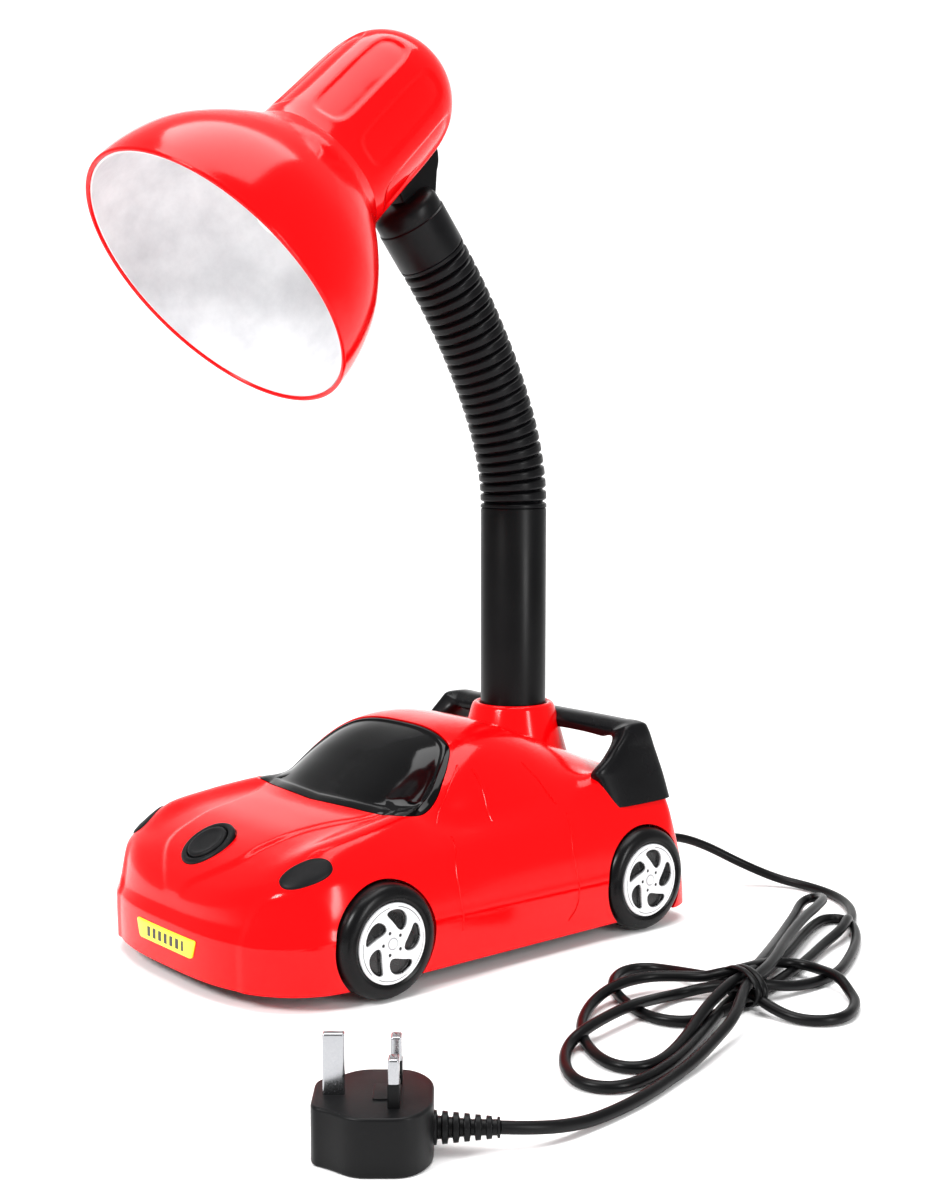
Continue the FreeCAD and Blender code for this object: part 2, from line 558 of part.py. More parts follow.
def make_head():
    """Neck housing, shade, reflector liner, lampholder, bulb and the pivot bolt and nut."""
    shade = turned_wall(SHADE_OUTLINE, SHADE_WALL)
    liner_outline = [(t, r - SHADE_WALL - 0.25) for t, r in SHADE_OUTLINE]
    liner = turned_wall(liner_outline, 0.9)
    outline = NECK_OUTLINE + NECK_END
    outer = Part.BSplineCurve()
    outer.interpolate([V(r, 0, t) for t, r in outline])
    full = Part.Wire([outer.toShape(), Part.makeLine(V(0, 0, outline[-1][0]), V(0, 0, 78)),
                      Part.makeLine(V(0, 0, 78), V(38, 0, 78))])
    full = Part.Face(full).revolve(V(0, 0, 0), Z_AXIS, 360)
    inner = Part.BSplineCurve()
    inner.interpolate([V(max(r - SHADE_WALL, 0), 0, t - SHADE_WALL * (t > 145)) for t, r in outline])
    ends = inner.toShape().Vertexes
    room = Part.Wire([inner.toShape(), Part.makeLine(ends[1].Point, V(0, 0, 78)),
                      Part.makeLine(V(0, 0, 78), ends[0].Point)])
    room = Part.Face(room).revolve(V(0, 0, 0), Z_AXIS, 360)
    half = KNUCKLE_WIDTH / 2 + 0.4
    ears = []
    for side in (-1, 1):
        plate = box(half, half + EAR, PIVOT_E - 2, 40, PIVOT_T - 9, PIVOT_T + 9)
        plate = plate.fuse(rod(9, V(half, PIVOT_E, PIVOT_T), V(half + EAR, PIVOT_E, PIVOT_T)))
        ears.append(plate if side > 0 else mirrored(plate))
    neck = full.cut(room).fuse(joined(ears).common(full))
    slot = box(-half, half, PIVOT_E + 1, 50, PIVOT_T - 24, PIVOT_T + KNUCKLE_R + 1)
    slot = slot.fuse(rod(KNUCKLE_R + 1, V(-half, PIVOT_E, PIVOT_T), V(half, PIVOT_E, PIVOT_T)))
    hole = rod(PIVOT_PIN_R + 0.02, V(-14, PIVOT_E, PIVOT_T), V(14, PIVOT_E, PIVOT_T))
    pockets = [rod(BOLT_HEAD_R + 0.2, V(side * (half + EAR), PIVOT_E, PIVOT_T),
                   V(side * (half + EAR + 3), PIVOT_E, PIVOT_T)) for side in (-1, 1)]
    neck = neck.cut(joined([slot, hole] + pockets))
    holder = turned([(90, 17.6), (90, 15.2), (92, 13.8), (116, 13.8), (116, 0), (128, 0), (128, 10),
                     (120, 15.6), (98.5, 18.2), (98.5, 34.2), (96, 34.2), (96, 18.2), (92, 17.6)])
    contacts = rod(4, V(0, 0, 114.6), V(0, 0, 116)).fuse(box(6, 12, -3, 3, 115.2, 116))
    bulb = turned([(41.5, 0), (43, 8), (47, 14.8), (52.5, 19.4), (59, 22), (64, 22.4), (71, 20.8),
                   (78, 16.5), (83, 14), (87, 13.2), (87, 0)])
    bulb_cap = turned([(87, 0), (87, 13.3), (110, 13.3), (112.5, 8), (114.5, 4.5), (114.5, 0)])
    bolt = rod(PIVOT_PIN_R, V(-half - EAR - 2.6, PIVOT_E, PIVOT_T), V(half + EAR, PIVOT_E, PIVOT_T)).fuse(
        rod(BOLT_HEAD_R, V(half + EAR, PIVOT_E, PIVOT_T), V(half + EAR + 2.2, PIVOT_E, PIVOT_T)))
    corners = [V(-half - EAR, PIVOT_E + BOLT_HEAD_R * math.cos(rad(60 * i)),
                 PIVOT_T + BOLT_HEAD_R * math.sin(rad(60 * i))) for i in range(6)]
    nut = Part.Face(Part.makePolygon(corners + [corners[0]])).extrude(V(-2.4, 0, 0))
    nut = nut.cut(rod(PIVOT_PIN_R + 0.02, V(-20, PIVOT_E, PIVOT_T), V(20, PIVOT_E, PIVOT_T)))
    pieces = dict(neck_housing=neck, shade_bell=shade, reflector_liner=liner, lampholder=holder,
                  holder_contacts=contacts, bulb_glass=bulb, bulb_cap=bulb_cap, pivot_bolt=bolt, pivot_nut=nut)
    return {name: solid_of(head_place(piece)) for name, piece in pieces.items()}


# ---- mains lead -----------------------------------------------------------------

def cord_path(route):
    """Straight runs joined by tangent arcs, each arc as large as its two runs allow."""
    points = [V(*p) for p in route]
    edges, start, radii = [], points[0], []
    for before, corner, after in zip(points, points[1:], points[2:]):
        run_in, run_out = corner - before, after - corner
        half_turn = run_in.getAngle(run_out) / 2
        reach = 0.45 * min(run_in.Length, run_out.Length)
        radii.append(reach / math.tan(half_turn))
        a = corner - run_in * (reach / run_in.Length)
        b = corner + run_out * (reach / run_out.Length)
        middle = (a + b) * 0.5
        gap = radii[-1] * (1 / math.cos(half_turn) - 1)
        peak = corner + (middle - corner) * (gap / (middle - corner).Length)
        edges.append(Part.LineSegment(start, a).toShape())
        edges.append(Part.Arc(a, peak, b).toShape())
        start = b
    edges.append(Part.LineSegment(start, points[-1]).toShape())
    return Part.Wire(edges), radii


def make_tube(name, route):
    """Cord tube along a route; prints its radii and how true its volume is."""
    path, radii = cord_path(route)
    heading = V(*route[1]) - V(*route[0])
    circle = Part.Wire([Part.Circle(V(*route[0]), heading, CORD_R).toShape()])
    tube = path.makePipeShell([circle], True, False)
    expected = math.pi * CORD_R ** 2 * path.Length
    print(name, "length", round(path.Length, 1), "radii", [round(r, 1) for r in radii],
          "volume ratio", round(tube.Volume / expected, 4))
    return solid_of(tube)


def make_bundle():
    """The tied bundle of cord as one solid of its outer shape, and the tie round its waist."""
    outline = Part.BSplineCurve()
    outline.interpolate(Points=[V(x, y, 0.4) for x, y in BUNDLE_OUTLINE], PeriodicFlag=True)
    bundle = Part.Face(Part.Wire([outline.toShape()])).extrude(V(0, 0, BUNDLE_HEIGHT))
    waist, turn = V(184, 78, 0.4), 20.0
    tie = box(-28, 28, -2, 2, 0, BUNDLE_HEIGHT + 1.5).cut(box(-26.4, 26.4, -3, 3, -1, BUNDLE_HEIGHT))
    tie.rotate(V(0, 0, 0), Z_AXIS, turn)
    tie.translate(waist)
    return solid_of(bundle), solid_of(tie.cut(bundle))


def plug_place(shape):
    """Moves a piece drawn with the cable end at the origin, cable along +X, to the plug."""
    shape = shape.copy()
    shape.rotate(V(0, 0, 0), Z_AXIS, PLUG_TURN)
    tip = V(*TAIL_ROUTE[-1])
    back = V(math.cos(rad(PLUG_TURN)), math.sin(rad(PLUG_TURN)), 0) * RELIEF_LENGTH
    shape.translate(V(tip.x - back.x, tip.y - back.y, 0))
    return shape


def make_plug():
    """Three-pin plug: body, fuse cover, pins and the ribbed strain relief."""
    half, length, high = PLUG_WIDTH / 2, PLUG_LENGTH, PLUG_HEIGHT
    side = [(0, 13), (-9, half - 2), (-26, half), (-length + 6, half - 4), (-length, half - 12)]
    plan = [V(x, y, 0) for x, y in side] + [V(x, -y, 0) for x, y in reversed(side)]
    body = Part.Face(Part.makePolygon(plan + [plan[0]])).extrude(V(0, 0, high))
    body = body.cut(box(-22, -12, -7, 7, high - 1.2, high + 1))
    fuse = box(-21.8, -12.2, -6.8, 6.8, high - 1.2, high + 0.3)
    neutral_x, earth_x, pin_y = -17.0, -36.2, 11.1
    pins = [box(earth_x - 4, earth_x + 4, -2, 2, high - 4, high + 22.7)]
    for y in (-pin_y, pin_y):
        pins.append(box(neutral_x - 3.2, neutral_x + 3.2, y - 2, y + 2, high - 4, high + 17.7))
    for pin in pins:
        body = body.cut(pin)
    axis_z = TAIL_ROUTE[-1][2]
    relief = Part.makeCone(6.2, 3.6, RELIEF_LENGTH, V(0, 0, axis_z), X_AXIS)
    for i in range(5):
        x = 4.0 + 4.0 * i
        relief = relief.cut(ring(9, 3.4, V(x, 0, axis_z), V(x + 1.6, 0, axis_z)))
    relief = relief.fuse(rod(3.4, V(0, 0, axis_z), V(RELIEF_LENGTH, 0, axis_z)))
    return [solid_of(plug_place(s)) for s in (body, fuse, Part.makeCompound(pins), relief)]


def make_gland():
    """Strain relief where the lead leaves the tail."""
    start = V(*LEAD_ROUTE[0])
    wide, narrow, behind = 4.9, 3.5, y_of(196)
    gland = Part.makeCone(wide, narrow, start.y - behind, V(start.x, behind, start.z), V(0, 1, 0))
    neck = rod(wide, V(start.x, behind - 4.2, start.z), V(start.x, behind, start.z))
    flange = rod(7.0, V(start.x, behind - 4.2, start.z), V(start.x, behind - 2.0, start.z))
    return solid_of(gland.fuse([neck, flange]))


def main():
    """Builds every node and writes one STEP file each."""
    os.makedirs("parts", exist_ok=True)
    nodes = {"car_shell": make_shell(), "windscreen": make_windscreen(), "rear_wing": make_wing(),
             "number_plate": make_plate()}
    nodes["headlamp_left"], nodes["headlamp_right"] = make_headlamps()
    nodes["switch_bezel"], nodes["switch_body"], nodes["switch_button"] = make_switch()
    plate, screws, weight, weight_screws, feet = make_base()
    nodes.update(base_plate=plate, base_screws=Part.makeCompound(screws), counterweight=weight,
                 weight_screws=Part.makeCompound(weight_screws), rubber_feet=Part.makeCompound(feet))
    tyres, hubs, pegs = make_wheels()
    for i, place in enumerate(("front_left", "front_right", "rear_left", "rear_right")):
        nodes["tyre_" + place] = tyres[i]
        nodes["hub_" + place] = hubs[i]
    nodes["wheel_pegs"] = Part.makeCompound(pegs)
    nodes["stem_tube"], nodes["stem_spigot"], nodes["stem_nut"] = make_stem()
    sleeves, arms = make_gooseneck()
    for i, sleeve in enumerate(sleeves):
        nodes["sleeve_%d" % i if i < LINKS else "top_sleeve"] = sleeve
    for i, arm in enumerate(arms):
        nodes["arm_%d" % i] = arm
    nodes["knuckle"] = make_knuckle()
    nodes.update(make_head())
    nodes["cord_gland"] = make_gland()
    nodes["cord_lead"] = make_tube("cord_lead", LEAD_ROUTE)
    nodes["cord_tail"] = make_tube("cord_tail", TAIL_ROUTE)
    nodes["cord_bundle"], nodes["cord_tie"] = make_bundle()
    nodes["plug_body"], nodes["plug_fuse_cover"], nodes["plug_pins"], nodes["plug_relief"] = make_plug()
    for name, shape in nodes.items():
        shape.exportStep("parts/%s.step" % name)
        b = shape.BoundBox
        print("%-18s %d solids valid %s  x %.1f %.1f  y %.1f %.1f  z %.1f %.1f" % (
            name, len(shape.Solids), shape.isValid(), b.XMin, b.XMax, b.YMin, b.YMax, b.ZMin, b.ZMax))
    print("nodes", len(nodes))


main()
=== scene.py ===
"""Toy-car desk lamp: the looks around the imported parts.

Lengths are millimetres in the row frame: +Z up, -Y towards the car's nose, +X its left side.
A station is a distance behind the front axle.
"""
import json
import math

import bmesh
import bpy
import numpy as np
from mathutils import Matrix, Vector


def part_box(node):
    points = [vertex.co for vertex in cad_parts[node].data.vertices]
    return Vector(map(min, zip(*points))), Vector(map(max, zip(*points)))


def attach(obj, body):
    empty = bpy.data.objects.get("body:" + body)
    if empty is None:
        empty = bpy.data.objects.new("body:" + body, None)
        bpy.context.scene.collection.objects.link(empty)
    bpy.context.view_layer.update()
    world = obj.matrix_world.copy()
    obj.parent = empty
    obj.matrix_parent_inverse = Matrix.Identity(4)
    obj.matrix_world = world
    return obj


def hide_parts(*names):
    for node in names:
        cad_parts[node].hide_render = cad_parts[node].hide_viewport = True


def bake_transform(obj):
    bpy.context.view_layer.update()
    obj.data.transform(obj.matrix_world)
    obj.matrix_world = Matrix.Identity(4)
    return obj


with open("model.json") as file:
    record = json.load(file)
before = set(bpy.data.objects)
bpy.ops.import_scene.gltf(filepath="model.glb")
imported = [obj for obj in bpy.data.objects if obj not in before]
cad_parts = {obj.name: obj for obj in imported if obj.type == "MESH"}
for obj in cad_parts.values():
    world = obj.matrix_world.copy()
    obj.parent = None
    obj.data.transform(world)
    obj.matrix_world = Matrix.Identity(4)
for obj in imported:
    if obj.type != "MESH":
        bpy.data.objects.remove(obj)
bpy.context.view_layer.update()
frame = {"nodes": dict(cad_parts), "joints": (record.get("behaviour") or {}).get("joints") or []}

MM = 0.001


def middle_of(node):
    """Centre of a CAD node's box, in millimetres."""
    low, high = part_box(node)
    return np.array((low + high) / 2) / MM


def top_of(node):
    """Highest corner of a CAD node's box, in millimetres."""
    return np.array(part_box(node)[1]) / MM


# ---- sizes taken from the frame ------------------------------------------------
AXLE_Y = middle_of("tyre_front_left")[1]
REAR_STATION = middle_of("tyre_rear_left")[1] - AXLE_Y
HUB_Z = middle_of("tyre_front_left")[2]
TYRE_R = top_of("tyre_front_left")[2] - HUB_Z
TYRE_OUT_X = top_of("tyre_front_left")[0]
STEM_R = top_of("stem_tube")[0]
STEM_Y = middle_of("stem_tube")[1]
STEM_TOP_Z = top_of("stem_tube")[2]
SWITCH = middle_of("switch_bezel")

# ---- car ---------------------------------------------------------------------
SKIRT_Z = 8.0
SIDE_X = 87.0                   # half width at the skirt
NOSE_REACH = 64.0
NOSE_POWERS = (3.05, 2.65)
TAIL = 204.0
TAIL_CORNER = 14.0
TAIL_SPREAD = 2.0               # the tail is wider than the nose by this on each side
RIM_DEPTH = 3.7                 # base plate's ceiling above the skirt's lower edge
SHELL_WALL = 2.6
# height on the side, how far the side is drawn in there
SIDE_IN = [(0, 0), (8, 0), (27, -1.0), (31, -1.2), (36, -0.4), (50, 2.0), (66, 4.6), (84, 8.5), (120, 15)]
FRONT_IN = [(0, 0), (8, 0), (27, 0.0), (30, 0.2), (32, 1.2), (37, 2.0), (46, 3.6), (60, 6.5), (120, 9)]
REAR_IN = [(0, 0), (8, 0), (27, 2.4), (60, 8), (120, 20)]
# station, height on the centre line of the lower body
CROWN = [(-80, 20), (-70, 30), (-62, 44), (-52, 54.5), (-40, 62), (-24, 68), (0, 72), (30, 74.5),
         (80, 76), (130, 77), (170, 77), (192, 75), (214, 70)]
# station, half width at the waist, roof height
CABIN_HALF = [(4, 54), (20, 62), (34, 68), (50, 71.5), (64, 73), (78, 74), (94, 75), (114, 76), (134, 76),
              (154, 74), (176, 70), (197, 65), (214, 60)]
CABIN_ROOF = [(-12, 32), (-4, 46), (4, 60), (12, 70), (20, 76.5), (32, 84.5), (44, 92.5), (56, 100.5),
              (66, 106), (76, 109.6), (92, 111.5), (114, 108.5), (134, 101.5), (154, 93.5), (176, 84.5),
              (197, 75.5), (214, 62)]
CABIN_POWERS = (3.2, 2.9)
HAUNCH_X = 71.0                 # line of the raised haunch over the rear wheel
HAUNCH_HALF = 12.0
HAUNCH_TOP = [(40, 50), (80, 62), (110, 68), (128, 73), (142, 80), (150, 84), (165, 85), (190, 78), (206, 62)]
TONGUE_HALF = [(-64, 0), (-58, 12), (-48, 27), (-30, 33), (0, 38), (40, 54)]     # raised middle of the bonnet
TONGUE_RISE = 1.5
FENDER_X = [(-50, 60), (-30, 66), (0, 66), (40, 58)]         # line of the fender crest beside the bonnet
FENDER_RISE = 6.0


def ramp(x, start, end):
    """0 before start, 1 after end, and the cubic 3t^2 - 2t^3 between."""
    t = np.clip((x - start) / (end - start), 0, 1)
    return t * t * (3 - 2 * t)


def through(x, knots):
    """Smooth curve through (place, value) knots: cubic Hermite pieces with central slopes."""
    at, value = np.array(knots, float).T
    slope = np.gradient(value, at)
    i = np.clip(np.searchsorted(at, x) - 1, 0, len(at) - 2)
    step = at[i + 1] - at[i]
    t = np.clip((x - at[i]) / step, 0, 1)
    return ((2 * t ** 3 - 3 * t ** 2 + 1) * value[i] + (t ** 3 - 2 * t ** 2 + t) * step * slope[i]
            + (3 * t ** 2 - 2 * t ** 3) * value[i + 1] + (t ** 3 - t ** 2) * step * slope[i + 1])


def soft_max(a, b, blend):
    """Larger of a and b, rounded where they are within blend of each other."""
    h = np.clip(0.5 + 0.5 * (a - b) / blend, 0, 1)
    return b + (a - b) * h + blend * h * (1 - h)


def soft_min(a, b, blend):
    """Smaller of a and b, rounded where they are within blend of each other."""
    return -soft_max(-a, -b, blend)


def side_level(x, s, z):
    """Level of the sides: below 0 inside the plan outline at that height.

    Ahead of the front axle the outline is a superellipse, behind it a box with rounded tail corners.
    """
    half = SIDE_X - through(z, SIDE_IN)
    reach = NOSE_REACH - through(z, FRONT_IN)
    tail = TAIL - through(z, REAR_IN)
    across, ahead = NOSE_POWERS
    nose = ((x / half) ** across + (np.maximum(-s, 0) / reach) ** ahead) ** (2 / (across + ahead))
    widest = half + TAIL_SPREAD * np.clip(s / (tail - TAIL_CORNER), 0, 1)
    over_x, over_s = x - widest + TAIL_CORNER, s - tail + TAIL_CORNER
    corner = np.hypot(np.maximum(over_x, 0), np.maximum(over_s, 0))
    box = corner + np.minimum(np.maximum(over_x, over_s), 0) - TAIL_CORNER
    return np.where(s < 0, (nose - 1) * half, box)


def body_level(x, s, z):
    """Level of the car body: below 0 inside.

    The lower body is the sides cut by a crown, a superellipse arch across each station, whose height
    rises on the bonnet's tongue and along the fender crests. The cabin and the haunches are arches of
    their own. All are joined with rounded valleys.
    """
    x = np.abs(x)
    sides = side_level(x, s, z)
    tongue = through(s, TONGUE_HALF)
    crest = np.exp(-((x - through(s, FENDER_X)) / 12) ** 2) * ramp(s, -50, -20) * (1 - ramp(s, 30, 60))
    crown = through(s, CROWN) + FENDER_RISE * crest
    crown = crown + TONGUE_RISE * (1 - ramp(x, tongue - 2.5, tongue + 2.5)) * (1 - ramp(s, 36, 44))
    arch = ((x / 96) ** 4.8 + (np.maximum(z + 14, 0) / (crown + 14)) ** 3.4) ** (1 / 3.8)
    lower = soft_max((arch - 1) * (crown + 14), sides, 4.0)
    up = np.maximum(z - 30, 0)
    half, roof = through(s, CABIN_HALF), through(s, CABIN_ROOF)
    across, rise = CABIN_POWERS
    cabin = ((x / half) ** across + (up / (roof - 30)) ** rise) ** (2 / (across + rise))
    cabin = soft_max((cabin - 1) * np.minimum(half, roof - 30), sides, 2.0)
    top = through(s, HAUNCH_TOP)
    haunch = ((np.abs(x - HAUNCH_X) / HAUNCH_HALF) ** 2.4 + (up / (top - 30)) ** 2.4) ** (1 / 2.4)
    haunch = soft_max((haunch - 1) * HAUNCH_HALF, sides, 2.0)
    return soft_min(soft_min(lower, cabin, 5.0), haunch, 7.0)


def reach_of(start, heading, far=260.0):
    """Distance along each ray from inside the body to its surface, by halving 40 times."""
    low = np.zeros(start.shape[:-1])
    high = np.full(start.shape[:-1], far)
    for _ in range(40):
        middle = (low + high) / 2
        spot = start + heading * middle[..., None]
        inside = body_level(spot[..., 0], spot[..., 1], spot[..., 2]) < 0
        low, high = np.where(inside, middle, low), np.where(inside, high, middle)
    return low


def to_row(points):
    """(x, station, z) to the row frame."""
    return points + np.array([0, AXLE_Y, 0])


# ---- mesh making ----------------------------------------------------------------

def signed_volume(points, faces):
    """Volume inside triangles fanned from each face's first corner; negative if inside out."""
    total = 0.0
    for group in faces:
        group = np.asarray(group)
        for k in range(1, group.shape[1] - 1):
            a, b, c = points[group[:, 0]], points[group[:, k]], points[group[:, k + 1]]
            total += np.einsum("ij,ij->i", a, np.cross(b, c)).sum() / 6
    return total


def mesh_piece(name, points, faces, sharp=35.0):
    """Mesh object at the origin from points in millimetres and lists of faces, turned outwards."""
    if signed_volume(points, faces) < 0:
        faces = [np.asarray(group)[:, ::-1] for group in faces]
    mesh = bpy.data.meshes.new(name)
    listed = [tuple(face) for group in faces for face in np.asarray(group).tolist()]
    mesh.from_pydata((points * MM).tolist(), [], listed)
    mesh.update()
    piece = bpy.data.objects.new(name, mesh)
    bpy.context.scene.collection.objects.link(piece)
    mesh.shade_smooth()
    mesh.set_sharp_from_angle(angle=math.radians(sharp))
    return piece


def grid_faces(rows, columns, around, along=False):
    """Quads of a rows by columns grid; around joins the last column to the first, along the rows."""
    i = np.arange(rows if along else rows - 1)
    j = np.arange(columns if around else columns - 1)
    i, j = np.meshgrid(i, j, indexing="ij")
    i2, j2 = (i + 1) % rows, (j + 1) % columns
    corners = [i * columns + j, i * columns + j2, i2 * columns + j2, i2 * columns + j]
    return np.stack(corners, -1).reshape(-1, 4)


def skin(name, grid, along=False, sharp=35.0, merge=False):
    """Closed piece from a grid of rings: the first and last ring are filled unless along joins them."""
    rows, columns = grid.shape[:2]
    points = grid.reshape(-1, 3)
    faces = [grid_faces(rows, columns, True, along)]
    if not along:
        points = np.vstack([points, grid[0].mean(0), grid[-1].mean(0)])
        j = np.arange(columns)
        j2 = (j + 1) % columns
        last = (rows - 1) * columns
        faces.append(np.stack([np.full(columns, rows * columns), j2, j], -1))
        faces.append(np.stack([np.full(columns, rows * columns + 1), last + j, last + j2], -1))
    piece = mesh_piece(name, points, faces, sharp)
    if merge or not along:
        weld(piece)
    return piece


def weld(piece, gap=2e-6):
    """Merges doubled points and drops faces that have closed up."""
    work = bmesh.new()
    work.from_mesh(piece.data)
    bmesh.ops.remove_doubles(work, verts=work.verts, dist=gap)
    bmesh.ops.dissolve_degenerate(work, edges=work.edges, dist=gap)
    work.to_mesh(piece.data)
    work.free()


def frame_at(origin, up, side):
    """Moves (side, other, up) coordinates to the row frame."""
    up = np.array(up, float) / np.linalg.norm(up)
    side = np.array(side, float) / np.linalg.norm(side)
    axes = np.stack([side, np.cross(up, side), up])
    return lambda points: points @ axes + np.array(origin, float)


def lathe_grid(profile, steps):
    """Height, radius and angle of (height, radius) points at equal turns about an axis."""
    angle = np.linspace(0, 2 * np.pi, steps, endpoint=False)
    return np.broadcast_arrays(profile[:, :1], profile[:, 1:], angle)


def turned(name, profile, place, steps=128, sharp=35.0):
    """Lathe piece: (height, radius) points turned about the frame's up axis.

    A profile that ends on the axis closes at a pole, and one that comes back to its start is a ring.
    """
    profile = np.array(profile, float)
    height, radius, angle = lathe_grid(profile, steps)
    grid = np.stack([radius * np.cos(angle), radius * np.sin(angle), height], -1)
    loop = np.linalg.norm(profile[0] - profile[-1]) < 1e-6
    grid = grid[:-1] if loop else grid
    return skin(name, place(grid.reshape(-1, 3)).reshape(grid.shape), along=loop, sharp=sharp)


def smooth_line(knots, count):
    """count points on a curve through knots, cubic Hermite in the running length."""
    knots = np.array(knots, float)
    run = np.concatenate([[0], np.cumsum(np.linalg.norm(np.diff(knots, axis=0), axis=1))])
    at = np.linspace(0, run[-1], count)
    return np.stack([through(at, np.stack([run, knots[:, k]], -1)) for k in range(knots.shape[1])], -1)


def soft_polygon(corners, radius, steps=6):
    """Closed outline with each corner replaced by a parabola that starts radius before it."""
    corners = np.array(corners, float)
    before, after = np.roll(corners, 1, 0) - corners, np.roll(corners, -1, 0) - corners
    size_before = np.linalg.norm(before, axis=1, keepdims=True)
    size_after = np.linalg.norm(after, axis=1, keepdims=True)
    radius = np.broadcast_to(np.asarray(radius, float).reshape(-1, 1), (len(corners), 1))
    a = corners + before / size_before * np.minimum(radius, 0.45 * size_before)
    b = corners + after / size_after * np.minimum(radius, 0.45 * size_after)
    t = np.linspace(0, 1, steps)[None, :, None]
    curve = (1 - t) ** 2 * a[:, None] + 2 * t * (1 - t) * corners[:, None] + t ** 2 * b[:, None]
    return curve.reshape(-1, 2)


def rounded_slab(name, outline, low, high, radius, place, sharp=30.0, steps=5):
    """Plate with rounded rims: the outline is drawn in by radius (1 - sin t) at a height of
    radius (1 - cos t) from each face, with t from 0 to a quarter turn."""
    outline = np.array(outline, float)
    turn = np.roll(outline, -1, 0) - np.roll(outline, 1, 0)
    area = (outline[:, 0] * np.roll(outline[:, 1], -1) - np.roll(outline[:, 0], -1) * outline[:, 1]).sum()
    outward = np.stack([turn[:, 1], -turn[:, 0]], -1) / np.linalg.norm(turn, axis=1, keepdims=True)
    outward = outward * np.sign(area)
    t = np.linspace(0, np.pi / 2, steps)
    inset, rise = radius * (1 - np.sin(t)), radius * (1 - np.cos(t))
    inset = np.concatenate([inset, inset[::-1]])
    height = np.concatenate([low + rise, (high - rise)[::-1]])
    ring = outline[None] - outward[None] * inset[:, None, None]
    grid = np.concatenate([ring, np.broadcast_to(height[:, None, None], ring.shape[:2] + (1,))], -1)
    rows, columns = grid.shape[:2]
    points = place(grid.reshape(-1, 3))
    ends = [np.arange(columns)[None, ::-1], (np.arange(columns) + (rows - 1) * columns)[None]]
    return mesh_piece(name, points, [grid_faces(rows, columns, True)] + ends, sharp)


def join(name, pieces):
    """The pieces as one object."""
    bpy.ops.object.select_all(action="DESELECT")
    for piece in pieces:
        piece.select_set(True)
    bpy.context.view_layer.objects.active = pieces[0]
    bpy.ops.object.join()
    pieces[0].name = name
    return pieces[0]


def carve(piece, cutters, sharp=35.0):
    """Takes the cutters' volume out of the piece."""
    cutter = join("cutter", cutters) if len(cutters) > 1 else cutters[0]
    cut = piece.modifiers.new("cut", "BOOLEAN")
    cut.operation, cut.solver, cut.object = "DIFFERENCE", "EXACT", cutter
    bpy.context.view_layer.objects.active = piece
    bpy.ops.object.modifier_apply(modifier=cut.name)
    bpy.data.objects.remove(cutter)
    piece.data.set_sharp_from_angle(angle=math.radians(sharp))


def finish(piece, material, slot, body, *nodes):
    """Gives a piece its material, says which CAD nodes it stands for and what it rides on; the slot is not used.
    """
    piece.data.materials.clear()
    piece.data.materials.append(material)
    if body:
        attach(piece, body)
    if nodes:
        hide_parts(*nodes)
    return piece


# ---- materials --------------------------------------------------------------------

def linear(code):
    """An sRGB hex colour as linear red, green, blue and alpha."""
    parts = [int(code[i:i + 2], 16) / 255 for i in (1, 3, 5)]
    return tuple(c / 12.92 if c <= 0.04045 else ((c + 0.055) / 1.055) ** 2.4 for c in parts) + (1.0,)


def add(tree, kind, inputs=None, **settings):
    """Adds a node, sets its settings, and sets or links its inputs."""
    made = tree.nodes.new(kind)
    for key, value in settings.items():
        setattr(made, key, value)
    for key, value in (inputs or {}).items():
        if isinstance(value, bpy.types.NodeSocket):
            tree.links.new(value, made.inputs[key])
        else:
            made.inputs[key].default_value = value
    return made


def new_material(name):
    """An empty material with its shader: (material, tree, shader, object coordinates)."""
    material = bpy.data.materials.new(name)
    material.use_nodes = True
    tree = material.node_tree
    shader = tree.nodes["Principled BSDF"]
    return material, tree, shader, tree.nodes.new("ShaderNodeTexCoord").outputs["Object"]


def noise(tree, place, size_mm, detail=3.0, roughness=0.5):
    """Noise whose blotches are about size_mm across."""
    return add(tree, "ShaderNodeTexNoise", {"Vector": place, "Scale": 1 / (size_mm * MM), "Detail": detail,
                                            "Roughness": roughness}).outputs["Fac"]


def mixed(tree, factor, low, high):
    """Colour between two hex colours by a factor."""
    made = add(tree, "ShaderNodeMix", {"Factor": factor}, data_type="RGBA")
    first, second = [socket for socket in made.inputs if socket.type == "RGBA"]
    first.default_value, second.default_value = linear(low), linear(high)
    return [socket for socket in made.outputs if socket.type == "RGBA"][0]


def inked(tree, shader, mask, paper, ink):
    """Sets the shader's colour to the paper where the mask is 0 and to the ink, a hex code, where it is 1."""
    made = add(tree, "ShaderNodeMix", {"Factor": mask}, data_type="RGBA")
    first, second = [socket for socket in made.inputs if socket.type == "RGBA"]
    tree.links.new(paper, first)
    second.default_value = linear(ink)
    colour = [socket for socket in made.outputs if socket.type == "RGBA"][0]
    tree.links.new(colour, shader.inputs["Base Color"])


def spread(tree, factor, low, high):
    """A number from low to high by a factor from 0.3 to 0.7, as noise gives."""
    return add(tree, "ShaderNodeMapRange", {"Value": factor, "From Min": 0.3, "From Max": 0.7,
                                            "To Min": low, "To Max": high}).outputs["Result"]


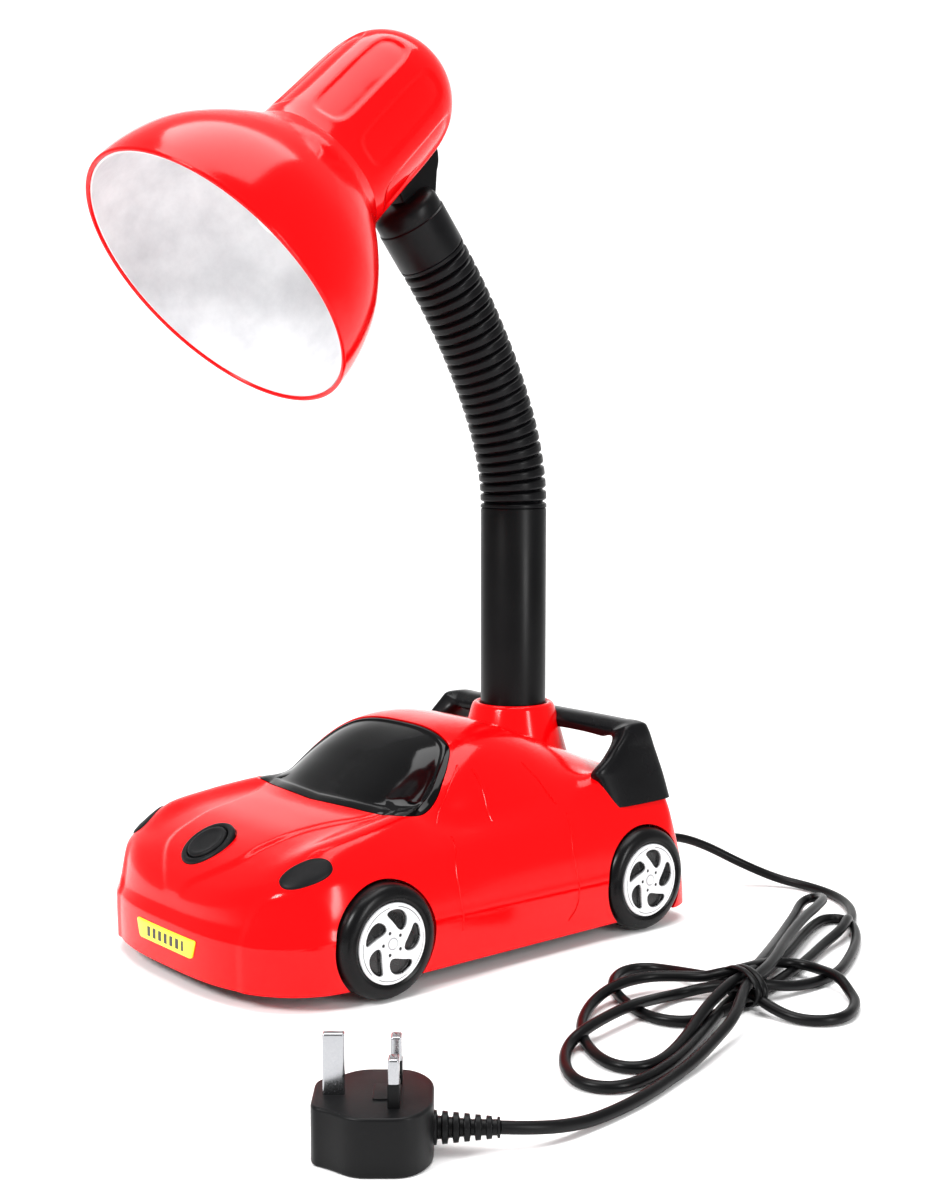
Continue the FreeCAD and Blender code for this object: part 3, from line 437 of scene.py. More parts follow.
def moulded(name, colour, shade, gloss, grain_mm, grain_depth_mm, cloud_mm=30.0, ior=1.5, level=0.3):
    """Moulded plastic: a slow drift between two shades, roughness that drifts, and a fine surface grain.

    gloss is the (lowest, highest) roughness; the grain is drawn at grain_mm so that it shows.
    """
    material, tree, shader, place = new_material(name)
    cloud = noise(tree, place, cloud_mm)
    grain = noise(tree, place, grain_mm, 2.0)
    tree.links.new(mixed(tree, cloud, colour, shade), shader.inputs["Base Color"])
    tree.links.new(spread(tree, cloud, *gloss), shader.inputs["Roughness"])
    bump = add(tree, "ShaderNodeBump", {"Strength": 0.6, "Distance": grain_depth_mm * MM, "Height": grain})
    tree.links.new(bump.outputs["Normal"], shader.inputs["Normal"])
    shader.inputs["IOR"].default_value = ior
    shader.inputs["Specular IOR Level"].default_value = level
    return material


# glossy red ABS, injection moulded and polished: saturated, with soft window reflections
RED_ABS = moulded("red_abs_gloss", "#DE0206", "#E60307", (0.10, 0.16), 14.0, 0.02, 60.0, 1.52, 0.16)
# satin polypropylene of the stem and knuckle: near black with one broad soft streak of light
STEM_BLACK = moulded("polypropylene_black_satin", "#060607", "#0B0B0C", (0.30, 0.38), 1.2, 0.01, level=0.13)
# softer polyethylene of the corrugated sleeve: each ring catches a thin line of light
SLEEVE_BLACK = moulded("polyethylene_black_sleeve", "#060607", "#0B0B0D", (0.27, 0.36), 1.5, 0.012, level=0.13)
# black gloss acrylic of the windscreen: deep black with crisp reflections
SCREEN_BLACK = moulded("acrylic_black_gloss", "#040405", "#070708", (0.06, 0.10), 20.0, 0.01, 40.0, 1.49, 0.16)
# fine-textured ABS of the switch, headlamps and base plate: flat black, no clear reflection
MATT_BLACK = moulded("abs_black_matt", "#0B0B0C", "#111113", (0.42, 0.52), 0.8, 0.02, level=0.13)
# satin ABS of the wing: black with soft light along its edges
WING_BLACK = moulded("abs_black_satin", "#070708", "#0D0D0F", (0.24, 0.32), 2.0, 0.012, level=0.13)
# ABS tyres: a soft bright line round each shoulder
TYRE_BLACK = moulded("abs_black_tyre", "#060607", "#0C0C0D", (0.24, 0.33), 2.5, 0.02, level=0.15)
# flexible PVC of the lead: black with a thin line of light along each strand
CORD_BLACK = moulded("pvc_black_cord", "#060607", "#0B0B0C", (0.30, 0.40), 3.0, 0.02, level=0.13)
# stiffer textured PVC of the plug: dull black
PLUG_BLACK = moulded("pvc_black_plug", "#09090A", "#101011", (0.34, 0.44), 0.9, 0.03, level=0.13)
# rubber feet, nylon arms and the white lampholder: dull, hidden in use
RUBBER = moulded("rubber_black_foot", "#121212", "#1C1C1C", (0.6, 0.75), 0.8, 0.04)
ARM_NYLON = moulded("nylon_black_arm", "#131315", "#1C1C1E", (0.4, 0.5), 1.0, 0.02)
LAMP_WHITE = moulded("thermoplastic_white_holder", "#E9E7E1", "#F2F0EB", (0.35, 0.45), 1.0, 0.02)


def reflector_paint_with_painted_shade():
    """White matt paint sprayed inside the shade, with painted shade as pale grey clouds of 25 mm across its
    colour, and a fine orange peel.
    """
    material, tree, shader, place = new_material("paint_white_matt_reflector_painted_shade")
    cloud = noise(tree, place, 26.0, 5.0, 0.6)
    # painted shade: the grey clouds in the colour stand for shading inside the bell; the paint itself is plain
    # white
    paint = mixed(tree, spread(tree, cloud, 0.0, 1.0), "#C6C7CA", "#E4E5E7")
    tree.links.new(paint, shader.inputs["Base Color"])
    peel = noise(tree, place, 1.6, 2.0)
    bump = add(tree, "ShaderNodeBump", {"Strength": 0.5, "Distance": 0.05 * MM, "Height": peel})
    tree.links.new(bump.outputs["Normal"], shader.inputs["Normal"])
    tree.links.new(spread(tree, cloud, 0.5, 0.62), shader.inputs["Roughness"])
    return material


def metal(name, colour, shade, gloss, streak_mm=0.4):
    """Bare metal with fine drawn streaks along Y."""
    material, tree, shader, place = new_material(name)
    stretched = add(tree, "ShaderNodeMapping", {"Vector": place, "Scale": (1, 0.12, 1)}).outputs["Vector"]
    streak = noise(tree, stretched, streak_mm, 3.0)
    tree.links.new(mixed(tree, streak, colour, shade), shader.inputs["Base Color"])
    tree.links.new(spread(tree, streak, *gloss), shader.inputs["Roughness"])
    shader.inputs["Metallic"].default_value = 1.0
    return material


# bright pins and contacts, dull fasteners and the rough weight
NICKEL = metal("brass_nickel_plated", "#8C8D90", "#B4B5B8", (0.16, 0.28))
STEEL = metal("steel_zinc_plated", "#A9ABAE", "#C4C6C9", (0.28, 0.4))
BRASS = metal("brass_bare", "#B99A4E", "#CDB066", (0.25, 0.4))
IRON = metal("iron_cast", "#4A4B4D", "#5C5D5F", (0.5, 0.7), 1.2)


def wheel_print():
    """Silvery white wheel trim with black windows: the two are told apart by the piece's own attribute."""
    material, tree, shader, place = new_material("abs_silver_white_trim")
    mask = add(tree, "ShaderNodeAttribute", attribute_name="window").outputs["Fac"]
    cloud = noise(tree, place, 6.0)
    pale = mixed(tree, cloud, "#E4E5E8", "#FAFAFB")
    inked(tree, shader, mask, pale, "#0B0B0C")
    tree.links.new(spread(tree, cloud, 0.22, 0.32), shader.inputs["Roughness"])
    return material


BAR_PITCH, BAR_HALF_HIGH = 5.2, 2.4     # of the bars on the number plate
BARS_HALF, PLATE_MIDDLE_Z = 17.5, 21.6


def plate_print():
    """Yellow vinyl plate with a black bar pattern that spells nothing."""
    material, tree, shader, place = new_material("vinyl_yellow_plate")
    split = add(tree, "ShaderNodeSeparateXYZ", {"Vector": place})
    across, up = split.outputs["X"], split.outputs["Z"]

    def worked(kind, a, b=0.0):
        """Result of a math node."""
        return add(tree, "ShaderNodeMath", {0: a, 1: b}, operation=kind).outputs[0]
    beat = worked("FRACT", worked("MULTIPLY", across, 1 / (BAR_PITCH * MM)))
    bar = worked("LESS_THAN", beat, 0.55)
    near = worked("LESS_THAN", worked("ABSOLUTE", across), BARS_HALF * MM)
    level = worked("SUBTRACT", up, PLATE_MIDDLE_Z * MM)
    band = worked("LESS_THAN", worked("ABSOLUTE", level), BAR_HALF_HIGH * MM)
    ink = worked("MULTIPLY", worked("MULTIPLY", bar, near), band)
    cloud = noise(tree, place, 8.0)
    inked(tree, shader, ink, mixed(tree, cloud, "#F5E52A", "#FCEF3E"), "#101010")
    tree.links.new(spread(tree, cloud, 0.28, 0.36), shader.inputs["Roughness"])
    return material


def bulb_finish():
    """Opal glass: milky white with a soft sheen."""
    material, tree, shader, place = new_material("glass_opal_bulb")
    cloud = noise(tree, place, 12.0)
    tree.links.new(mixed(tree, cloud, "#F0EFEA", "#FBFAF7"), shader.inputs["Base Color"])
    tree.links.new(spread(tree, cloud, 0.12, 0.2), shader.inputs["Roughness"])
    return material


REFLECTOR_WHITE_PAINTED_SHADE = reflector_paint_with_painted_shade()
TRIM = wheel_print()
PLATE = plate_print()
OPAL = bulb_finish()

# ---- camera and light -------------------------------------------------------------

CAMERA_PLACE = (684.0, -516.1, 260.7)
CAMERA_TURN, CAMERA_DIP, LENS = 49.724, 5.790, 50.42        # degrees, degrees, millimetres on a 36 mm sensor


def make_camera():
    """The camera, turned CAMERA_TURN from looking along +Y and dipped below level."""
    data = bpy.data.cameras.new("camera")
    data.lens, data.sensor_width, data.sensor_fit = LENS, 36.0, "AUTO"
    data.clip_start, data.clip_end = 0.01, 20.0
    camera = bpy.data.objects.new("camera", data)
    camera.location = [c * MM for c in CAMERA_PLACE]
    camera.rotation_euler = (math.radians(90 - CAMERA_DIP), 0, math.radians(CAMERA_TURN))
    bpy.context.scene.collection.objects.link(camera)
    bpy.context.scene.camera = camera


make_camera()

# ---- mains lead ----------------------------------------------------------------------
CORD_R = 2.5
LEAD_ROUTE = [(45, 161, 33), (46, 178, 31.5), (52, 197, 24), (63, 214, 13), (79, 228, 4.5),
              (97, 234, 2.8), (117, 231, 2.8), (136, 220, 2.8), (151, 203, 2.8), (158, 189, 2.8)]
LOOPS = [
    # down to the tie
    (158, 190, 7.5), (167, 172, 6), (172, 152, 4), (183, 122, 3), (192, 92, 3), (201, 59, 3.2),
    # small loop on the left
    (204, 36, 3), (203, 20, 2.8), (195, 12, 2.8), (183, 10, 2.8), (166, 15, 2.8), (148, 25, 2.8),
    (138, 37, 2.8), (134, 49, 2.8), (138, 59, 2.8), (150, 63, 3.5), (167, 62, 6), (183, 62, 8),
    (194, 65, 8.2), (201, 74, 7),
    # long loop on the right
    (204, 88, 4), (205, 104, 2.8), (203, 120, 2.8), (198, 134, 2.8), (182, 164, 2.8), (168, 183, 2.8),
    (155, 195, 2.8), (146, 196, 2.8), (142, 186, 2.8), (153, 158, 2.8), (167, 130, 2.8), (176, 106, 3),
    (186, 82, 3.2), (194, 60, 3.2),
    # nearest loop
    (200, 43, 3.2), (213, 18, 3.2), (225, -8, 2.8), (232, -28, 2.8), (236, -50, 2.8), (232, -62, 2.8),
    (220, -67, 2.8), (204, -59, 2.8), (189, -43, 2.8), (187, -32, 6.5), (182, -8, 7.5), (180, 7, 7.5),
    (174, 32, 3.5), (175, 44, 3), (180, 51, 5), (190, 56, 8.2), (204, 57, 8.2),
    # wide loop on the right
    (217, 56, 4.5), (230, 57, 2.8), (240, 64, 2.8), (243, 77, 2.8), (235, 94, 2.8), (225, 102, 4),
    (215, 107, 7.5), (200, 112, 6), (189, 112, 6), (183, 103, 7), (185, 91, 10), (189, 77, 12.5),
    (190, 66, 13.2),
    # tall loop on the left
    (183, 60, 11), (176, 57, 8), (166, 50, 7.5), (157, 38, 7.5), (156, 18, 7.5), (159, 1, 4), (171, -17, 2.8),
    (186, -31, 2.8), (204, -41, 2.8), (218, -43, 2.8), (226, -36, 2.8), (226, -23, 2.8), (217, 0, 4),
    (205, 25, 8), (199, 48, 12.6), (196, 62, 13),
    # fold that stands up
    (188, 80, 11), (156, 134, 5), (139, 164, 3.6), (128, 184, 3.6), (121, 196, 4.6), (120, 204, 6.2),
    (126, 206, 8), (134, 200, 9.8), (142, 186, 11.4), (156, 155, 13), (174, 119, 13.3),
    (193, 86, 13.3), (201, 65, 13.3)]
TAIL_ROUTE = [(205, 52, 12.5), (222, 26, 9), (229, 6, 6), (236, -14, 4), (241, -34, 2.8), (247, -56, 2.8),
              (250, -78, 2.8), (251, -95, 3.6), (250.5, -116, 7.5), (243.5, -128, 9.0)]


def make_cord():
    """The lead as one spline: out of the tail, through the loops drawn together at the tie, to the plug."""
    points = np.array(LEAD_ROUTE + LOOPS + TAIL_ROUTE, float) * MM
    curve = bpy.data.curves.new("mains_cord", "CURVE")
    curve.dimensions = "3D"
    line = curve.splines.new("NURBS")
    line.points.add(len(points) - 1)
    line.points.foreach_set("co", np.hstack([points, np.ones((len(points), 1))]).ravel())
    line.order_u = 3
    line.use_endpoint_u = True
    line.resolution_u = 6
    curve.bevel_depth = CORD_R * MM
    curve.bevel_resolution = 5
    curve.use_fill_caps = True
    piece = bpy.data.objects.new("mains_cord", curve)
    bpy.context.scene.collection.objects.link(piece)
    return finish(piece, CORD_BLACK, "cord_pvc", "base", "cord_lead", "cord_bundle", "cord_tail")


cord = make_cord()

# ---- car body --------------------------------------------------------------------------
SPINE_Z = 34.0                  # rays to the surface start on this line inside the body
SPINE = (-8.0, 150.0)


def plan_targets():
    """Places round the plan outline that the rays aim at: nose fan, left side, tail, right side."""
    turn = np.linspace(0, np.pi, 170, endpoint=False)
    nose = np.stack([SIDE_X * np.cos(turn), SPINE[0] - (NOSE_REACH + SPINE[0]) * np.sin(turn)], -1)[::-1]
    side = np.linspace(SPINE[0], SPINE[1], 130, endpoint=False)
    corners = np.array([(89, 150), (89, 190), (88, 196), (84, 201), (78, 204), (0, 204)], float)
    half = smooth_line(corners, 95)[:-1]
    tail = np.vstack([half, (half * [-1, 1])[::-1]])
    right = np.stack([0 * side + SIDE_X, side], -1)
    left = np.stack([0 * side - SIDE_X, side[::-1]], -1)
    return np.vstack([right, tail, left, nose])


def make_body():
    """Red shell: from each target a fan of rays rises from the skirt to straight up, and the surface is
    where each ray leaves the body's level. The skirt's rim and the ceiling over the base plate close it."""
    target = plan_targets()
    foot = np.stack([0 * target[:, 0], np.clip(target[:, 1], *SPINE)], -1)
    heading = target - foot
    heading /= np.linalg.norm(heading, axis=1, keepdims=True)
    flat = np.concatenate([heading, 0 * heading[:, :1]], -1)
    low = np.concatenate([foot, 0 * foot[:, :1] + SKIRT_Z], -1)
    skirt = reach_of(low, flat)
    first = np.arctan2(SKIRT_Z - SPINE_Z, skirt)
    rise = np.linspace(0, 1, 128)[:, None]
    angle = first + (np.pi / 2 - first) * rise
    start = np.broadcast_to(np.concatenate([foot, 0 * foot[:, :1] + SPINE_Z], -1), angle.shape + (3,))
    ray = np.concatenate([np.cos(angle)[..., None] * heading, np.sin(angle)[..., None]], -1)
    upper = start + ray * reach_of(start, ray)[..., None]
    inner = low + flat * (skirt - SHELL_WALL)[:, None]
    ceiling = inner + [0, 0, RIM_DEPTH]
    middle = low + [0, 0, RIM_DEPTH]
    grid = np.concatenate([middle[None], ceiling[None], inner[None], upper])
    rows, columns = grid.shape[:2]
    body = mesh_piece("car_body", to_row(grid).reshape(-1, 3), [grid_faces(rows, columns, True)])
    weld(body)
    return body


def wheel_places():
    """(side, hub centre) of the four wheels."""
    return [(side, np.array([0, AXLE_Y + s, HUB_Z])) for s in (0, REAR_STATION) for side in (1, -1)]


def well_cutter(side, hub):
    """Drum that takes a wheel well out of the shell."""
    drum = [(71.0, 0), (71.0, TYRE_R + 1.3), (112.0, TYRE_R + 1.3), (112.0, 0)]
    return turned("well", drum, frame_at(hub, (side, 0, 0), (0, 0, 1)), 160)


# windscreen outline, left half, as (x, station, height); rays to it start at a point inside the cabin
SEAT = np.array([0.0, 105.0, 30.0])
SCREEN = [(0, 18, 76.5), (28, 20.5, 76.8), (50, 23.5, 76.9), (60, 28, 76.4), (63, 37, 76), (60.5, 47, 77),
          (58.5, 54, 82), (56, 59, 88), (52, 65.5, 95), (45, 72.5, 102), (34, 75.5, 106.5), (24, 76.6, 108.8),
          (12, 77.3, 109.8), (0, 77.5, 110)]
SCREEN_WAY = np.array([0, -0.80, 0.60])         # from the seat through the screen, unit length


def screen_rings(offsets):
    """Rings of the windscreen from its middle out: the outline is seen from the seat as slopes across and
    up from the screen's way, those are scaled by each share, and the rays that they give are followed to
    the skin, then on by each offset."""
    left = smooth_line(SCREEN, 90) - SEAT
    across, up = np.array([1.0, 0, 0]), np.cross(SCREEN_WAY, [1.0, 0, 0])
    slopes = np.stack([left @ across, left @ up], -1) / (left @ SCREEN_WAY)[:, None]
    outline = np.vstack([slopes, (slopes[1:-1] * [-1, 1])[::-1]])
    middle = np.array([0.0, (outline[:, 1].min() + outline[:, 1].max()) / 2])
    share, offset = np.array(offsets, float).T
    seen = middle + (outline - middle)[None] * share[:, None, None]
    ray = SCREEN_WAY + seen[..., :1] * across + seen[..., 1:] * up
    ray /= np.linalg.norm(ray, axis=-1, keepdims=True)
    start = np.broadcast_to(SEAT, ray.shape)
    return to_row(start + ray * (reach_of(start, ray) + offset[:, None])[..., None])


def make_windscreen():
    """Black screen: a pane set a little below its border, both below the roof's skin."""
    pane = [(share, -1.5) for share in np.linspace(0.02, 0.86, 22)]
    border = [(0.875, -1.3), (0.89, -0.8), (0.90, -0.6), (0.93, -0.55), (0.96, -0.6), (0.985, -0.75),
              (0.992, -1.2)]
    back = [(0.992, -4.0), (0.5, -4.0), (0.02, -4.0)]
    return skin("windscreen_pane", screen_rings(pane + border + back), sharp=40)


def screen_cutter():
    """Pocket for the screen in the shell, from 2 deep to well outside."""
    deep = [(share, -1.9) for share in np.linspace(0.02, 1.0, 16)]
    clear = [(1.0, -1.0), (1.0, 0.0), (1.0, 6.0), (0.5, 9.0), (0.02, 9.0)]
    return skin("screen_pocket", screen_rings(deep + clear))


UP, LEFT = (0, 0, 1), (1, 0, 0)
SLOPE = math.radians(32)        # of the bonnet at the switch
SWITCH_UP = np.array([0, -math.sin(SLOPE), math.cos(SLOPE)])
SWITCH_PLACE = frame_at(SWITCH + SWITCH_UP * 1.8, SWITCH_UP, LEFT)
SWITCH_SEAT_R = 14.45

# engraved lines on each side as (station, height): door edges and side window edges
SEAMS = [[(48.5, 66.5), (44, 55), (43.5, 43), (44.5, 30), (44.5, 24)],
         [(120.5, 68), (118.5, 50), (120, 31), (119, 22), (113.5, 15.5)],
         [(75.5, 93.5), (76.5, 82), (75.5, 69.5)],
         [(46, 72), (54, 80), (62, 88.5), (69.5, 95.5)],
         [(106, 93), (112, 84), (117, 72.5)]]
SEAM_R = 0.6


def seam_cutter(line, side, steps=48, around=10):
    """Thin tube to engrave a line: its centre is where rays across the body meet the skin, and each ring is
    a circle square to the line."""
    path = smooth_line(line, steps)
    start = np.concatenate([0 * path[:, :1], path], -1)
    across = np.broadcast_to([float(side), 0, 0], start.shape)
    spine = start + across * (reach_of(start, across) + 0.15)[:, None]
    along = np.gradient(spine, axis=0)
    along /= np.linalg.norm(along, axis=1, keepdims=True)
    out = across - along * (along * across).sum(1, keepdims=True)
    out /= np.linalg.norm(out, axis=1, keepdims=True)
    turn = np.linspace(0, 2 * np.pi, around, endpoint=False)[None, :, None]
    beside = np.cross(along, out)
    ring = spine[:, None] + SEAM_R * (np.cos(turn) * out[:, None] + np.sin(turn) * beside[:, None])
    return skin("seam", to_row(ring))


body = make_body()
carve(body, [seam_cutter(line, side) for line in SEAMS for side in (1, -1)])
carve(body, [well_cutter(side, hub) for side, hub in wheel_places()])
carve(body, [screen_cutter()])
carve(body, [turned("switch_seat", [(-3.5, 0), (-3.5, SWITCH_SEAT_R), (25, SWITCH_SEAT_R), (25, 0)],
                    SWITCH_PLACE, 112)])
finish(body, RED_ABS, "red_abs", "base", "car_shell")
finish(make_windscreen(), SCREEN_BLACK, "black_gloss_plastic", "base", "windscreen")


def laid_patch(name, spot, way, outline, shares, sharp=40):
    """Piece laid on the body: rings of an outline (across, up) in the plane through a spot inside the body
    and square to a way out of it; each ring goes that way to the surface and on by its (share, rise)."""
    way = np.array(way, float) / np.linalg.norm(way)
    across = np.cross([0, 0, 1.0], way)
    across /= np.linalg.norm(across)
    up = np.cross(way, across)
    middle = outline.mean(0)
    share, rise = np.array(shares, float).T
    flat = middle + (outline - middle)[None] * share[:, None, None]
    start = np.array(spot, float) + flat[..., :1] * across + flat[..., 1:] * up
    ray = np.broadcast_to(way, start.shape)
    reach = reach_of(start, ray) + rise[:, None]
    return skin(name, to_row(start + ray * reach[..., None]), sharp=sharp)


def oval(long, wide, turn, power=2.0):
    """Ellipse, or a fuller superellipse, with its long half axis turned from across."""
    t = np.linspace(0, 2 * np.pi, 96, endpoint=False)
    c, d = math.cos(math.radians(turn)), math.sin(math.radians(turn))
    u = long * np.sign(np.cos(t)) * np.abs(np.cos(t)) ** (2 / power)
    v = wide * np.sign(np.sin(t)) * np.abs(np.sin(t)) ** (2 / power)
    return np.stack([u * c - v * d, u * d + v * c], -1)


# headlamp ovals: where their line out of the body starts, its way, and the oval
LAMP_FROM, LAMP_WAY = np.array([43.0, -9.5, 28.5]), np.array([0.56, -0.48, 0.67])
LAMP_OVAL = (12.6, 6.6, 24, 2.3)        # half axes, turn in degrees and power
LAMP_SHARES = [(0.02, 0.8), (0.5, 0.8), (0.8, 0.75), (0.92, 0.6), (0.98, 0.3), (1.0, 0.0), (1.0, -3.0),
               (0.02, -3.0)]
for side, word in ((1, "left"), (-1, "right")):
    flip = np.array([side, 1, 1])
    lamp = laid_patch("headlamp_oval_" + word, LAMP_FROM * flip, LAMP_WAY * flip,
                      oval(*LAMP_OVAL) * [side, 1], LAMP_SHARES)
    finish(lamp, MATT_BLACK, "black_matte_plastic", "base", "headlamp_" + word)

# ---- collar and stem -----------------------------------------------------------------------
STEM_FOOT = (0, STEM_Y, 0)
collar = [(60, 0), (60, 37), (75, 32.7), (90, 28.4), (109.5, 22.9), (111, 22.2), (111.8, 21.2), (112, 20.4),
          (111.8, 19.2), (110.6, 18.4), (105, 18.2), (105, 0)]
finish(turned("stem_collar", collar, frame_at(STEM_FOOT, UP, LEFT), 144, 50), RED_ABS, "red_abs", "base")
stem = [(100, 0), (100, STEM_R), (STEM_TOP_Z - 1.2, STEM_R), (STEM_TOP_Z - 0.5, STEM_R - 0.3),
        (STEM_TOP_Z, STEM_R - 1.2), (STEM_TOP_Z, 0)]
finish(turned("stem_pipe", stem, frame_at(STEM_FOOT, UP, LEFT), 144), STEM_BLACK, "black_gloss_plastic",
       "base", "stem_tube")

# ---- gooseneck sleeve ------------------------------------------------------------------------
RINGS = 4                       # corrugations on each link
GROOVE, GROOVE_SHARE = 2.1, 0.13        # depth, and half width as a share of the ring's pitch
SLEEVE_BORE = STEM_R - 4.0
NECK = [np.array(j["pos_m"]) / MM for j in frame["joints"] if j["name"].startswith("neck_")]
HALF_LINK = NECK[0][2] - STEM_TOP_Z
TOP_SLEEVE = 22.0               # smooth sleeve above the last corrugation


LAST_LEAN = math.radians(38.0)  # of the last link from upright
LAST_UP = np.array([0, -math.sin(LAST_LEAN), math.cos(LAST_LEAN)])
NECK_MIDDLES = ([NECK[0] - [0, 0, HALF_LINK]] + [(a + b) / 2 for a, b in zip(NECK, NECK[1:])]
                + [NECK[-1] + LAST_UP * HALF_LINK])


def ring_radius(turns):
    """Corrugation over one ring pitch: a broad crown less a bell-curve groove in its middle."""
    hollow = np.exp(-((np.mod(turns, 1.0) - 0.5) / GROOVE_SHARE) ** 2)
    return STEM_R + 0.15 - GROOVE * hollow


def bent_sleeve(name, start, joint, end, steps=64, around=96):
    """Corrugated sleeve over one joint: a circle carried along the parabola that leaves the start towards
    the joint and reaches the end from it, its radius rippling RINGS times."""
    t = np.linspace(0, 1, steps + 1)[:, None]
    line = (1 - t) ** 2 * start + 2 * t * (1 - t) * joint + t ** 2 * end
    along = (1 - t) * (joint - start) + t * (end - joint)
    along /= np.linalg.norm(along, axis=1, keepdims=True)
    side = np.array([1.0, 0, 0])
    over = np.cross(along, side)
    angle = np.linspace(0, 2 * np.pi, around, endpoint=False)[None, :, None]
    ring = np.cos(angle) * side + np.sin(angle) * over[:, None]
    outer = line[:, None] + ring_radius(RINGS * t)[:, None] * ring
    inner = line[:, None] + SLEEVE_BORE * ring
    return skin(name, np.concatenate([outer, inner[::-1]]), along=True, sharp=60)


for i in range(6):
    sleeve = bent_sleeve("sleeve_%d_rings" % i, NECK_MIDDLES[i], NECK[i], NECK_MIDDLES[i + 1])
    finish(sleeve, SLEEVE_BLACK, "black_sleeve", None, "sleeve_%d" % i)
    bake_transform(sleeve)

cuff = [(0, SLEEVE_BORE), (0, STEM_R - 0.6), (0.5, STEM_R), (1.2, STEM_R + 0.3),
        (TOP_SLEEVE - 0.6, STEM_R + 0.3), (TOP_SLEEVE, STEM_R - 0.3), (TOP_SLEEVE, SLEEVE_BORE),
        (0, SLEEVE_BORE)]
finish(turned("sleeve_cuff", cuff, frame_at(NECK_MIDDLES[-1], LAST_UP, LEFT), 128), SLEEVE_BLACK,
       "black_sleeve", "link_6", "top_sleeve")

# ---- head ---------------------------------------------------------------------------------------
HEAD_TILT = math.radians(46.85)
HEAD_UP = np.array([0, math.sin(HEAD_TILT), math.cos(HEAD_TILT)])
MOUTH = np.array([0, -92.76, 329.66])           # centre of the shade's open end
HEAD = frame_at(MOUTH, HEAD_UP, LEFT)           # coordinates (x, towards the stem, along the head)
SHADE_R = 75.4
SHADE = [(0, SHADE_R), (8, 75), (20, 73), (34, 68.5), (48, 60.5), (60, 51.5), (70, 43), (78, 38)]
SHADE_WALL = 2.2
LIP_HEIGHT = 0.6
LINER_GAP, LINER_WALL = 0.2, 0.9
NECK_LINE = [(76.5, 38.2), (80, 37.6), (90, 37), (110, 36.2), (130, 35.5), (143, 34.2), (152, 31.4), (160, 26),
             (167, 17), (170.6, 7), (171.2, 0)]
NECK_INSIDE = [(76.5, 35.6), (90, 34.4), (110, 33.6), (130, 33.0), (143, 31.6), (152, 28.4), (160, 22),
               (165.5, 12), (168, 5), (168.6, 0)]
FLUTES = 8
FLUTE_DEPTH = 1.3
FLUTE_FROM, FLUTE_TO = 86.0, 148.0
PIVOT = np.array([28.8, 130.7])                 # of the head: towards the stem, along the head
LUG_R, LUG_WIDTH = 16.5, 12.0


def lip(height, radius, wall, steps=9):
    """Rolled edge: half a circle from the outer wall to the inner one, below the height."""
    t = np.linspace(0, np.pi, steps)
    return np.stack([height - wall / 2 * np.sin(t), radius - wall / 2 + wall / 2 * np.cos(t)], -1)


def make_shade():
    """Bell turned from its outer curve, a rolled lip and the inner curve."""
    outer = smooth_line(SHADE, 70)[1:]
    inner = outer - [0, SHADE_WALL]
    profile = np.vstack([outer[::-1], lip(LIP_HEIGHT, SHADE_R, SHADE_WALL), inner, outer[-1:]])
    return turned("shade_bell_skin", profile, HEAD, 192)


def make_reflector():
    """White liner just inside the bell: the bell's curve drawn in by its wall, and again by the liner's."""
    outer = smooth_line(SHADE, 60) - [0, SHADE_WALL + LINER_GAP]
    inner = outer - [0, LINER_WALL]
    profile = np.vstack([outer[::-1], inner, outer[-1:]])
    profile[:, 0] = np.maximum(profile[:, 0], 0.8)
    return turned("reflector_skin", profile, HEAD, 160)


def flute(height, angle):
    """Sunk panels round the neck with rounded ends: a superellipse in angle and height, softly edged."""
    spread_angle = 2 * np.pi / FLUTES
    across = (np.mod(angle + spread_angle / 2, spread_angle) - spread_angle / 2) / (spread_angle * 0.34)
    up = (height - (FLUTE_FROM + FLUTE_TO) / 2) / ((FLUTE_TO - FLUTE_FROM) / 2)
    level = (np.abs(across) ** 3 + np.abs(up) ** 7) ** (1 / 3)
    return -FLUTE_DEPTH * (1 - ramp(level, 0.78, 1.08))


def make_neck():
    """Neck housing: an outer curve with sunk flutes that closes in a dome, over an inner wall."""
    outer = smooth_line(NECK_LINE, 150)
    inner = smooth_line(NECK_INSIDE, 50)
    height, radius, angle = lathe_grid(np.vstack([inner, outer[::-1]]), 288)
    outside = np.arange(len(height))[:, None] >= len(inner)
    radius = radius + np.where(outside, flute(height, angle), 0)
    grid = np.stack([radius * np.cos(angle), radius * np.sin(angle), height], -1)
    return skin("neck_shell", HEAD(grid.reshape(-1, 3)).reshape(grid.shape), along=True, sharp=40, merge=True)


def along_x(origin, up):
    """Frame for plates lying across X: outline (towards the stem, along) and thickness along X."""
    up = np.array(up, float)
    other = np.cross(up, [1.0, 0, 0])
    return lambda p: np.array(origin) + p[:, :1] * other + p[:, 1:2] * up + p[:, 2:] * np.array([1.0, 0, 0])


def arc(middle, radius, start, end, steps=24):
    """Points on a circle from one angle to another, in degrees."""
    t = np.radians(np.linspace(start, end, steps))
    return np.stack([middle[0] + radius * np.cos(t), middle[1] + radius * np.sin(t)], -1)


